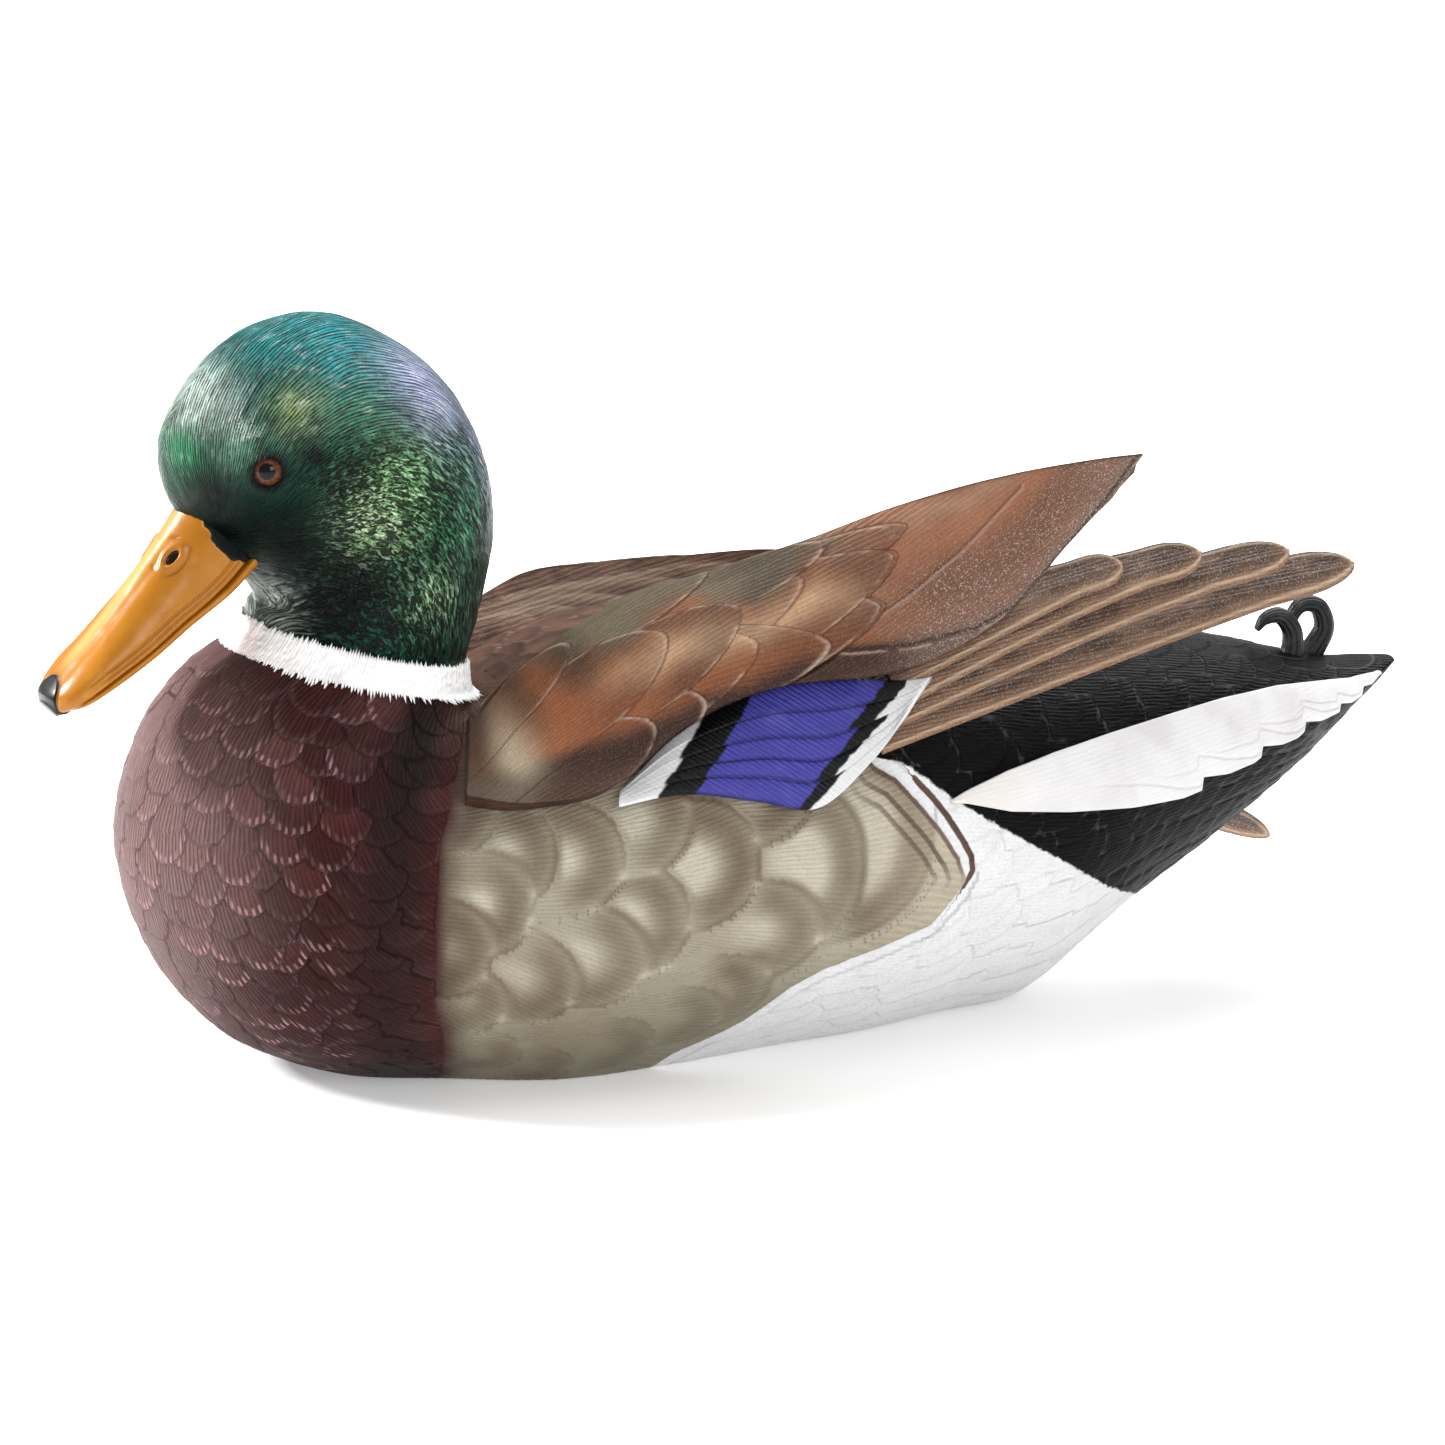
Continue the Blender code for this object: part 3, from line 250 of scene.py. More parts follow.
def fractal(points, size, seed=0):
    """Three layers of noise, each half the size and the strength of the one before."""
    return sum(noise(points, size / 2**k, seed + k) / 2**k for k in range(3)) / 1.75


def tones(points, size, seed):
    """Fractal noise in 0..1 at each point of a list or grid."""
    return (0.5 + 0.5 * fractal(points.reshape(-1, 3), size, seed)).reshape(points.shape[:-1])


def channels(*values):
    """Three values or arrays as the channels of one layer."""
    return np.stack(np.broadcast_arrays(*values), axis=-1)


def painted(colour, *coats):
    """Lays coats of paint over a colour in turn, each as its colour and its share."""
    for tone, share in coats:
        colour = mix(colour, srgb(*tone) if isinstance(tone, tuple) else tone, share)
    return colour


# ---------------------------------------------------------------- surfaces
def rows_at(table, places):
    """Catmull-Rom rows of a table at fractional row numbers."""
    table = np.array(table, float)
    padded = np.vstack([2 * table[0] - table[1], table, 2 * table[-1] - table[-2]])
    places = np.asarray(places, float)
    i = np.clip(np.floor(places).astype(int), 0, len(table) - 2)
    t = (places - i)[:, None]
    a, b, c, d = padded[i], padded[i + 1], padded[i + 2], padded[i + 3]
    return 0.5 * (2 * b + (c - a) * t + (2 * a - 5 * b + 4 * c - d) * t**2 + (3 * b - a - 3 * c + d) * t**3)


def resampled(loop, shares):
    """Points at shares of a closed polyline's length."""
    loop = np.vstack([loop, loop[:1]])
    run = lengths(loop)
    return np.column_stack([np.interp(np.asarray(shares) * run[-1], run, loop[:, k]) for k in range(3)])


def hoop_points(row, count=1440):
    """A hoop: two half superellipses that meet at the widest point, from the top down the left side."""
    angle = 2 * np.pi * np.arange(count) / count
    c, s = np.cos(angle), np.sin(angle)
    square = np.where(c >= 0, row[6], row[7])
    rise, side = np.abs(c) ** (2 / square), np.abs(s) ** (2 / square)
    share = np.where(c >= 0, row[5] * (1 - rise), row[5] + (1 - row[5]) * rise)
    x = row[4] * side * np.sign(np.where(np.abs(s) < 1e-12, 0, s))
    return np.column_stack([x, row[0] + (row[2] - row[0]) * share, row[1] + (row[3] - row[1]) * share])


def hoop_grid(table, places, shares):
    return np.array([resampled(hoop_points(row), shares) for row in rows_at(table, places)])


def even_places(table, count):
    """Fractional row numbers whose hoops lie evenly apart along the sides."""
    coarse = np.linspace(0, len(table) - 1, 241)
    grid = hoop_grid(table, coarse, np.array([0.25, 0.75, 0.5]))
    gap = np.linalg.norm(np.diff(grid, axis=0), axis=2).max(axis=1)
    along = np.r_[0, np.cumsum(gap)]
    return np.interp(np.linspace(0, along[-1], count), along, coarse)


def normals_of(grid):
    """Outward normals of a grid whose columns wrap round."""
    n = np.cross(np.gradient(grid, axis=0), (np.roll(grid, -1, 1) - np.roll(grid, 1, 1)) / 2)
    n /= np.maximum(np.linalg.norm(n, axis=2), 1e-12)[..., None]
    outward = grid - grid.reshape(-1, 3).mean(0)
    return n if (n * outward).sum() > 0 else -n


def piece(name, grid, body, slot, material, node, ring=False, **layers):
    """A closed mesh from a grid of points, in place of a CAD node. Rows are capped, or wrap as columns do."""
    rows, cols = grid.shape[:2]
    points = grid.reshape(-1, 3)
    r, c = np.arange(rows if ring else rows - 1)[:, None], np.arange(cols)[None]
    r, below, n = r * cols, (r + 1) % rows * cols, (c + 1) % cols
    quads = np.stack([r + c, r + n, below + n, below + c], axis=2).reshape(-1, 4)
    caps = np.zeros((0, 3), int)
    if not ring:
        points = np.vstack([points, grid[0].mean(0), grid[-1].mean(0)])
        first, last, end, edge = rows * cols, rows * cols + 1, (rows - 1) * cols, np.arange(cols)
        caps = np.vstack([
            np.column_stack([np.full(cols, first), (edge + 1) % cols, edge]),
            np.column_stack([np.full(cols, last), end + edge, end + (edge + 1) % cols]),
        ])
    p, q, u, v = (points[quads[:, k]] for k in range(4))
    if (p * np.cross(q, u)).sum() + (p * np.cross(u, v)).sum() < 0:
        quads, caps = quads[:, ::-1], caps[:, ::-1]
    mesh = bpy.data.meshes.new(name)
    mesh.vertices.add(len(points))
    mesh.vertices.foreach_set("co", (points * MM).astype(np.float32).ravel())
    corners = np.concatenate([quads.ravel(), caps.ravel()])
    mesh.loops.add(len(corners))
    mesh.loops.foreach_set("vertex_index", corners.astype(np.int32))
    starts = np.concatenate([np.arange(len(quads)) * 4, len(quads) * 4 + np.arange(len(caps)) * 3])
    mesh.polygons.add(len(starts))
    mesh.polygons.foreach_set("loop_start", starts.astype(np.int32))
    mesh.update(calc_edges=True)
    mesh.validate()
    mesh.shade_smooth()
    mesh.materials.append(material)
    for key, value in layers.items():
        value = np.asarray(value, float).reshape(rows, cols, -1)
        width = value.shape[2]
        flat = value.reshape(-1, width)
        if not ring:
            flat = np.vstack([flat, value[0].mean(0), value[-1].mean(0)])
        if width == 3:
            flat = np.column_stack([flat, np.ones(len(flat))])
        kind, field = ("FLOAT_COLOR", "color") if width == 3 else ("FLOAT", "value")
        mesh.attributes.new(key, kind, "POINT").data.foreach_set(field, flat.astype(np.float32).ravel())
    obj = bpy.data.objects.new(name, mesh)
    bpy.context.scene.collection.objects.link(obj)
    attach(obj, body)
    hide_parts(node)
    return obj


def border(y, z, outline):
    """Signed distance in the side view to an open outline; positive on its forward (-Y) side."""
    pts = np.array(outline, float)
    p = np.stack([np.asarray(y, float), np.asarray(z, float)], axis=-1)
    best = np.full(p.shape[:-1], 1e9)
    sign = np.ones(p.shape[:-1])
    for a, b in zip(pts, pts[1:]):
        d = b - a
        t = np.clip(((p - a) @ d) / (d @ d), 0, 1)
        off = p - a - t[..., None] * d
        dist = np.linalg.norm(off, axis=-1)
        side = d[0] * (p[..., 1] - a[1]) - d[1] * (p[..., 0] - a[0])
        closer = dist < best - 1e-9
        best = np.where(closer, dist, best)
        sign = np.where(closer, np.where(side > 0, -1.0, 1.0), sign)
    return best * sign


# ---------------------------------------------------------------- overlapping feathers
REACH = 14.0  # how far from a feather's edge or face a point still counts, in mm
BLOCK = 3000  # points looked at in one go


def feathers_on(points, centre, tip, across, half, length, back, power=2.0, soft=0.6):
    """Overlapping feathers, given with the topmost first, seen at each point.

    Returns how far the feather has risen towards its tip (0..1), the distance inside its edge in mm, and the
    point's place across and along it in mm, with a random value for each feather.
    """
    n = len(points)
    rise, edge = np.zeros(n), np.full(n, REACH)
    over, along, chance = np.zeros(n), np.zeros(n), np.zeros(n)
    luck = np.random.default_rng(11).random(len(centre))
    normal = np.cross(tip, across)
    scale = np.minimum(half, length)
    for start in range(0, n, BLOCK):
        s = slice(start, start + BLOCK)
        d = points[s, None, :] - centre[None]
        a = (d * tip).sum(2)
        b = (d * across).sum(2)
        off = np.abs((d * normal).sum(2))
        fa = np.where(a > 0, a / length, 0)
        rho = (np.abs(fa) ** power + np.abs(b / half) ** power) ** (1 / power)
        inside = (1 - rho) * scale
        inside = np.where((a < -back) | (off > REACH), -99, inside)
        alpha = step(inside, -soft, soft)
        through = np.cumprod(1 - alpha, axis=1)
        weight = alpha * np.column_stack([np.ones(len(d)), through[:, :-1]])
        lift = np.clip((a + back) / (length + back), 0, 1)
        top = weight.argmax(1)
        row = np.arange(len(d))
        rest = 1 - weight.sum(1)
        rise[s] = (weight * lift).sum(1)
        edge[s] = (weight * np.clip(inside, 0, REACH)).sum(1) + rest * REACH
        over[s], along[s] = b[row, top], a[row, top]
        chance[s] = luck[top]
    return rise, edge, over, along, chance


def scattered(grid, distance, keep, row_gap, side_gap, start=0.0, jitter=0.12, seed=3):
    """Centres and tips in staggered rows at even distances from the neck, on a surface's left half."""
    half = grid.shape[1] // 2 + 1
    rng = np.random.default_rng(seed)
    found = []
    number = 0
    level = start
    while level < distance[:, :half].max():
        line = []
        for j in range(half):
            d = distance[::-1, j]
            if not d[0] <= level <= d[-1]:
                continue
            i = np.interp(level, d, np.arange(len(d)))
            low = min(int(i), len(d) - 2)
            f = i - low
            column = grid[::-1, j]
            line.append((column[low] * (1 - f) + column[low + 1] * f, column[low + 1] - column[low]))
        if len(line) > 3:
            run = lengths(np.array([place for place, _ in line]))
            wants = np.arange((number % 2) * 0.5 * side_gap, run[-1], side_gap)
            wants = wants + rng.uniform(-jitter, jitter, len(wants)) * side_gap
            for want in np.clip(wants, 0, run[-1]):
                place, tip = line[min(int(np.searchsorted(run, want)), len(line) - 1)]
                if keep(place):
                    found.append((level + rng.uniform(-jitter, jitter) * row_gap, place, tip))
        number += 1
        level += row_gap
    found.sort(key=lambda f: f[0])
    return np.array([f[1] for f in found]), np.array([f[2] for f in found])


def laid(centre, tip, normal_at):
    """Feathers' centres, and their tip and cross directions turned to lie on the surface."""
    normal = normal_at(centre)
    tip = unit(tip)
    tip = unit(tip - normal * (tip * normal).sum(1)[:, None])
    return centre, tip, np.cross(normal, tip)


# ---------------------------------------------------------------- materials
class Tree:
    """A small helper for shader nodes. Numbers and colours go in as sockets' own values."""

    def __init__(self, name):
        self.material = bpy.data.materials.new(name)
        self.material.use_nodes = True
        self.tree = self.material.node_tree
        self.shader = self.tree.nodes["Principled BSDF"]

    def put(self, socket, value):
        if isinstance(value, bpy.types.NodeSocket):
            self.tree.links.new(value, socket)
        elif isinstance(value, (tuple, list, np.ndarray)):
            value = tuple(float(v) for v in value)
            alpha = (1.0,) if len(socket.default_value) == 4 and len(value) == 3 else ()
            socket.default_value = value + alpha
        else:
            socket.default_value = value

    def node(self, kind, out=0, **inputs):
        """Adds a node. Inputs are sockets by name or number (i0, i1 ...), or the node's own settings."""
        made = self.tree.nodes.new("ShaderNode" + kind)
        for key, value in inputs.items():
            if key[0] == "i" and key[1:].isdigit():
                self.put(made.inputs[int(key[1:])], value)
            elif key in made.inputs:
                self.put(made.inputs[key], value)
            else:
                setattr(made, key, value)
        return made.outputs[out]

    def math(self, operation, a, b=0.0, c=None):
        values = {"i0": a, "i1": b}
        if c is not None:
            values["i2"] = c
        return self.node("Math", operation=operation, **values)

    def times(self, a, b):
        return self.math("MULTIPLY", a, b)

    def plus(self, a, b):
        return self.math("ADD", a, b)

    def minus(self, a, b):
        return self.math("SUBTRACT", a, b)

    def fused(self, a, b, c):
        """a * b + c"""
        return self.math("MULTIPLY_ADD", a, b, c)

    def attribute(self, name, out="Color"):
        return self.node("Attribute", out, attribute_name=name)

    def separate(self, colour):
        return self.node("SeparateColor", i0=colour).node.outputs

    def mixed(self, a, b, share, blend="MIX"):
        return self.node("Mix", 2, data_type="RGBA", blend_type=blend, i0=share, i6=a, i7=b)

    def ramp(self, value, low, high, to_low=0.0, to_high=1.0):
        return self.node(
            "MapRange", interpolation_type="SMOOTHSTEP", i0=value, i1=low, i2=high, i3=to_low, i4=to_high)

    def texture(self, place, scale, detail=2.0, rough=0.5, warp=0.0):
        return self.node("TexNoise", Vector=place, Scale=scale, Detail=detail, Roughness=rough, Distortion=warp)

    def noise(self, scale, detail=2.0, rough=0.5, stretch=None):
        place = self.node("TexCoord", out="Object")
        if stretch is not None:
            place = self.node("Mapping", Vector=place, Scale=stretch)
        return self.texture(place, scale, detail, rough)

    def bump(self, height, strength, distance):
        normal = self.node("Bump", Height=height, Strength=strength, Distance=distance)
        self.put(self.shader.inputs["Normal"], normal)

    def finish(self, colour=None, **values):
        if colour is not None:
            self.put(self.shader.inputs["Base Color"], colour)
        for key, value in values.items():
            self.put(self.shader.inputs[key.replace("_", " ")], value)
        return self.material


def strands(t, barb, run, scale=0.9, detail=2.0):
    """Noise drawn out along a feather's barbs."""
    return t.texture(t.node("CombineXYZ", X=barb, Y=t.times(run, 0.13)), scale, detail)


def waves(t, coordinate, period, sway):
    """Fine lines across a coordinate in mm, 0 in the grooves and 1 on the ridges."""
    phase = t.fused(coordinate, 2 * math.pi / period, sway)
    return t.fused(t.math("SINE", phase), 0.5, 0.5)


def feather_material(name, period=1.25, lines=0.25, grain=0.16, strength=0.6, salt=0.0, dash=None, region=None,
                     **values):
    """Brushed paint on feathers: paint attribute, carved barbs, speckle, and strokes along feather edges."""
    if name in bpy.data.materials:
        return bpy.data.materials[name]
    t = Tree(name)
    paint = t.attribute("paint")
    trim = t.separate(t.attribute("trim"))
    barb, run = t.attribute("barb", "Fac"), t.attribute("run", "Fac")
    strand = strands(t, barb, run)
    fine = strands(t, barb, run, 2.3)
    sway = t.times(strand, 7.0)
    ridge = t.times(waves(t, barb, period, sway), 0.62)
    ridge = t.fused(fine, 0.60, t.minus(ridge, 0.11))
    speck = t.noise(1100.0, 3.0, 0.65)
    blotch = t.noise(90.0, 3.0, 0.6)
    if region is not None:
        paint = region(t, paint)
    # Painted light and shade: the barb ridges lighten the paint and the grooves darken it, with speckle and
    # blotches of tone on top.
    shade = t.fused(t.times(t.minus(ridge, 0.5), trim[2]), lines * 2, 1.0)
    shade = t.plus(shade, t.times(t.minus(speck, 0.5), grain * 2))
    shade = t.plus(shade, t.times(t.minus(blotch, 0.5), grain * 1.2))
    grey = t.node("CombineColor", i0=shade, i1=shade, i2=shade)
    colour = t.mixed(paint, grey, 1.0, "MULTIPLY")
    if dash is not None:
        stroke = t.ramp(waves(t, barb, 1.75, t.times(strand, 2.0)), 0.45, 0.8)
        inner = t.times(t.ramp(trim[0], 0.03, 0.07), t.ramp(trim[0], 0.16, 0.26, 1.0, 0.0))
        amount = t.times(t.times(stroke, inner), trim[1])
        colour = t.mixed(colour, dash, t.times(amount, t.ramp(blotch, 0.4, 0.6, 0.15, 0.85)))
    if salt:
        grains = t.ramp(t.noise(1900.0, 1.0, 0.5), 0.54, 0.70)
        colour = t.mixed(colour, (0.50, 0.43, 0.38), t.times(grains, t.times(trim[1], salt)))
    height = t.times(ridge, trim[2])
    height = t.fused(speck, 0.5, height)
    t.bump(height, strength, 0.0006)
    return t.finish(colour, **values)


def plain_material(name, colour, second, scale=120.0, strength=0.2, **values):
    """Paint, rubber, cast iron or metal with mottling and a fine uneven surface."""
    t = Tree(name)
    blotch = t.noise(scale, 4.0, 0.6)
    fine = t.noise(scale * 9, 3.0, 0.6)
    tone = t.mixed(colour, second, t.ramp(blotch, 0.35, 0.68))
    t.bump(t.fused(fine, 0.6, blotch), strength, 0.0003)
    return t.finish(tone, **values)


# ---------------------------------------------------------------- body
def circle_row(radius, height):
    """A hoop row that is a true circle about the neck axis, from its back to its front."""
    c, s = math.cos(NECK_TILT), math.sin(NECK_TILT)
    y, z = NECK_SEAT[1] + height * s, NECK_SEAT[2] + height * c
    return (y + radius * c, z - radius * s, y - radius * c, z + radius * s, radius, 0.5, 2.0, 2.0)


def column_shares(count, top=0.45, bottom=0.7):
    """Where columns go round a hoop: closer together on its sides than along the top and the keel."""
    s = np.linspace(0, 1, 2001)
    fold = np.minimum(s, 1 - s)
    density = 1 - (1 - top) * hump(fold, 0, 0.1) - (1 - bottom) * hump(fold, 0.5, 0.07)
    run = np.r_[0, np.cumsum((density[1:] + density[:-1]) / 2)]
    return np.interp(np.arange(count) / count * run[-1], run, s)


BREAST_BASE, BREAST_GREY = srgb(59, 28, 26), srgb(88, 63, 64)
BREAST_DASH = tuple(srgb(164, 124, 130))
MAROON, BREAST_DARK = srgb(66, 27, 25), srgb(34, 24, 26)
TAUPE, TAUPE_LIGHT, TAUPE_BAND, TAUPE_EDGE = (
    srgb(150, 145, 126), srgb(198, 193, 176), srgb(100, 86, 71), srgb(200, 190, 172))
MANTLE = srgb(88, 63, 52)
BLACK, WHITE = srgb(7, 8, 9), srgb(212, 212, 213)
LINE_BROWN = srgb(88, 70, 62)


def body_regions(t, paint):
    """Black and white paint with ragged edges, and the brown lines round the flank's tip."""
    area = t.separate(t.attribute("area"))
    rag = t.times(t.minus(t.noise(420.0, 3.0, 0.7), 0.5), 1.6)
    flank = t.ramp(t.plus(area[0], rag), -0.35, 0.35)
    white = t.ramp(t.fused(rag, 1.3, area[1]), -0.4, 0.4)
    rear = t.mixed(BLACK, WHITE, white)
    edge = t.ramp(t.separate(t.attribute("trim"))[0], 0.03, 0.12, 1.0, 0.0)
    rear = t.mixed(rear, t.mixed(srgb(80, 82, 84), srgb(232, 232, 234), white), t.times(edge, 0.6))
    wobble = t.times(rag, 0.4)
    line = t.ramp(t.plus(t.math("ABSOLUTE", area[2]), wobble), 0.7, 1.15, 1.0, 0.0)
    rear = t.mixed(rear, LINE_BROWN, line)
    inner = 0.0
    for place in (1.0, 5.6, 9.6):
        off = t.math("ABSOLUTE", t.minus(t.plus(area[0], wobble), place))
        inner = t.math("MAXIMUM", inner, t.ramp(off, 0.4, 1.1, 0.85, 0.0))
    tip = t.attribute("tip", "Fac")
    paint = t.mixed(paint, LINE_BROWN, t.times(inner, tip))
    return t.mixed(rear, paint, flank)


def side_frame(tips, normal_at, surface_at):
    """Feathers named by their tip in the side view, put on the left of a surface."""
    centre, tip = [], []
    for y, z, rise, _, length, *_ in tips:
        a = math.radians(rise)
        way = np.array([0.0, math.cos(a), math.sin(a)])
        centre.append(surface_at(y - way[1] * length, z - way[2] * length))
        tip.append(way)
    return laid(np.array(centre), np.array(tip), normal_at)


def nearest(points, normals):
    """Looks up the normal of the surface point nearest to each place."""
    flat, flat_normals = points.reshape(-1, 3)[::3], normals.reshape(-1, 3)[::3]

    def look(places):
        found = []
        for p in np.asarray(places, float):
            found.append(flat_normals[((flat - p) ** 2).sum(1).argmin()])
        return np.array(found)

    return look


def nearest_side(points, least_x=0.0):
    """Looks up the left-hand surface point at a place in the side view."""
    flat = points.reshape(-1, 3)
    flat = flat[flat[:, 0] > least_x]

    def look(y, z):
        return flat[((flat[:, 1] - y) ** 2 + (flat[:, 2] - z) ** 2).argmin()]

    return look


def barb_place(over, along, fan=0.016):
    """Barbs that spread a little towards the feather's tip, in mm across them."""
    return over / np.clip(1 + fan * along, 0.55, 1.8)


def meeting(place):
    """Marks grid points where two feathers meet: the barbs jump there, so none are drawn."""
    jump = 1.6
    marked = np.zeros(place.shape, bool)
    down = np.abs(np.diff(place, axis=0)) > jump
    marked[1:] |= down
    marked[:-1] |= down
    side = np.abs(place - np.roll(place, 1, axis=1)) > jump
    return marked | side | np.roll(side, -1, axis=1)


def make_body():
    table = BODY_HOOPS + (circle_row(SEAT_RADIUS, 0.0),)
    rows, columns = 480, 400
    grid = hoop_grid(table, even_places(table, rows), column_shares(columns))
    normals = normals_of(grid)
    distance = np.zeros(grid.shape[:2])
    gaps = np.linalg.norm(np.diff(grid, axis=0), axis=2)
    distance[:-1] = gaps[::-1].cumsum(0)[::-1]
    look = nearest(grid, normals)
    side = nearest_side(grid, 20.0)

    flat = grid.reshape(-1, 3) * (1, 1, 1)
    flat[:, 0] = np.abs(flat[:, 0])
    y, z = flat[:, 1], flat[:, 2]
    inside = border(y, z, PAINTED_EDGE)
    breast = border(y, z, BREAST_EDGE)
    white = border(y, z, BLACK_EDGE) - 12 * step(z, 90, 98)

    def region(keep, **how):
        centre, tip, across = laid(*scattered(grid, distance, keep, **how), look)
        near = centre[:, 0] < 16
        twin = (-1, 1, 1)
        order = np.argsort(np.r_[np.arange(len(centre)), np.arange(len(centre))[near] + 0.5], kind="stable")
        centre = np.vstack([centre, centre[near] * twin])[order]
        across = np.vstack([across, across[near] * twin])[order]
        return centre, np.vstack([tip, tip[near] * twin])[order], across

    rise, edge = np.zeros(len(flat)), np.full(len(flat), REACH)
    over, along, chance = (np.zeros(len(flat)) for _ in range(3))
    high = np.zeros(len(flat))

    def lay(where, feathers, half, length, back, height, power=2.0, soft=0.7):
        spots = np.flatnonzero(where)
        found = feathers_on(flat[spots], *feathers, half, length, back, power=power, soft=soft)
        rise[spots], edge[spots], over[spots], along[spots], chance[spots] = found
        high[spots] = height * found[0] ** 1.5

    def on(points_y, points_z, outline):
        return border(np.array([points_y]), np.array([points_z]), outline)[0]

    breast_set = region(
        lambda p: on(p[1], p[2], BREAST_EDGE) > -3, row_gap=8.7, side_gap=11.8, start=6, jitter=0.28)
    lay((breast > -6) & (z > -9), breast_set, 7.6, 7.9, 10, 0.66)
    rear_set = region(
        lambda p: on(p[1], p[2], PAINTED_EDGE) < 8, row_gap=11.0, side_gap=17.0, start=150, jitter=0.12, seed=8)
    lay(inside < 4, rear_set, 10.5, 10.5, 14, 0.42, soft=0.9)
    high[white < 0] *= 1.3
    high[white > 0] *= 0.75
    flank = (breast <= 0) & (inside > -4) & (flat[:, 0] > 20)
    tips = sorted(FLANK_FEATHERS, key=lambda f: f[0] - 0.15 * f[1])
    centre, tip, across = side_frame(tips, look, side)
    half, length = (np.array([f[k] for f in tips], float) for k in (3, 4))
    was = high.copy()
    lay(flank, (centre, tip, across), half, length, 34, 0.75, power=2.2, soft=2.6)
    high[flank] *= (0.75 + 0.45 * fractal(flat[flank], 24, 51))
    high[:] = mix(was, high, step(-breast, -1, 4))
    mantle = (z > 93) & (breast < -2) & (inside > 1) & (flat[:, 0] < 46)
    mantle_set = region(
        lambda p: p[2] > 91 and p[0] < 46 and on(p[1], p[2], BREAST_EDGE) < -4
        and on(p[1], p[2], PAINTED_EDGE) > 3,
        row_gap=12.0, side_gap=14.5, start=3, jitter=0.2, seed=12)
    lay(mantle, mantle_set, 9.4, 11.0, 14, 0.85, soft=0.8)

    # relief: feather tips stand up, the painted flank laps over the rear, all fades out at the ground
    swell = step(inside, -0.7, 0.9)
    relief = high + 1.0 * swell * step(z, 2, 14)
    relief += 0.25 * fractal(flat, 9.0, 2) + 0.10 * fractal(flat, 3.0, 5)
    relief -= 1.0
    ground = step(z, 0.5, 7.0)
    tip_fade = step(y, 231, 215)
    seat_fade = step(distance.reshape(-1), 0.0, 5.0)
    shaped = grid + normals * (relief * ground * tip_fade * seat_fade).reshape(grid.shape[:2])[..., None]

    # the flat underside: a rim on the ground, and a recess for the base plate
    outline = []
    for row in grid[:, : grid.shape[1] // 2]:
        cross = np.flatnonzero((row[:-1, 2] > 0) & (row[1:, 2] <= 0))
        if len(cross):
            a, b = row[cross[-1]], row[cross[-1] + 1]
            outline.append((a + (b - a) * a[2] / (a[2] - b[2]))[:2])
    outline = np.array(outline)
    outline = outline[np.argsort(outline[:, 1])]
    under = grid[..., 2] < 0
    inset = np.interp(grid[..., 1], outline[:, 1], outline[:, 0]) - np.abs(grid[..., 0])
    shaped[..., 2] = np.where(under, np.where(inset > 1.3, 6.4, 0.0), np.maximum(shaped[..., 2], 0.0))

    # paint
    coarse = tones(flat, 26, 4)
    fine = tones(flat, 6, 9)
    front = painted(
        BREAST_BASE,
        (BREAST_GREY, step(coarse + 0.5 * (chance - 0.5), 0.40, 0.85) * 0.75),
        ((92, 44, 38), step(chance, 0.55, 0.9) * 0.4),
        ((36, 24, 25), step(edge, 7.5, 1.6) * 0.30),
        ((122, 92, 94), hump(edge, 0.3, 0.7) * 0.30 * step(fine, 0.3, 0.7)),
        # painted light: the breast's front is lighter where the light falls on it
        ((132, 108, 106), step(y, -118, -160) * 0.55),
        (BREAST_DARK, hump(breast, 13, 9) * 0.8 + step(breast, 26, 12) * step(z, 70, 100) * 0.3),
        (MAROON, hump(breast, 0.8, 2.6) * 0.4),
        ((44, 20, 18), hump(y, -118, 24) * hump(z, 34, 26) * step(flat[:, 0], 15, 40) * 0.75),
        # darker along the breast's foot at the ground line
        ((40, 26, 26), step(z, 10, 1) * 0.5))
    band = hump(edge, 5.5, 5.0) * step(along, -6, 5)
    taupe = painted(
        TAUPE,
        ((143, 133, 115), step(coarse, 0.35, 0.75)),
        (TAUPE_LIGHT, step(edge, 8, 14) * step(along, -14, 2) * 0.55 * step(z, 20, 60)),
        (TAUPE_BAND, band * (0.60 + 0.28 * step(coarse, 0.3, 0.7))),
        (TAUPE_EDGE, hump(edge, 0.4, 0.8) * 0.75 * step(fine, 0.1, 0.5)),
        ((160, 150, 130), step(y, 26, 54) * 0.5),
        ((112, 94, 80), step(z, 74, 92) * 0.5),
        ((104, 97, 80), step(z, 48, 8) * 0.55),
        ((62, 42, 38), step(breast, -11, 0) * 0.75))
    colour = mix(taupe, front, step(breast + 2.2 * fractal(flat, 12, 6), -4, 1))
    back = painted(
        MANTLE,
        ((58, 42, 36), step(fine, 0.3, 0.7) * 0.6),
        ((44, 31, 27), step(edge, 7, 1.5) * step(along, -8, 4) * 0.55),
        ((128, 100, 84), hump(edge, 0.4, 0.55) * step(fine, 0.3, 0.6) * 0.5),
        ((112, 84, 66), step(chance, 0.5, 0.9) * step(edge, 4, 10) * 0.4))
    top = step(z, 90, 104) * step(y, -86, -66)
    colour = mix(colour, back, top)

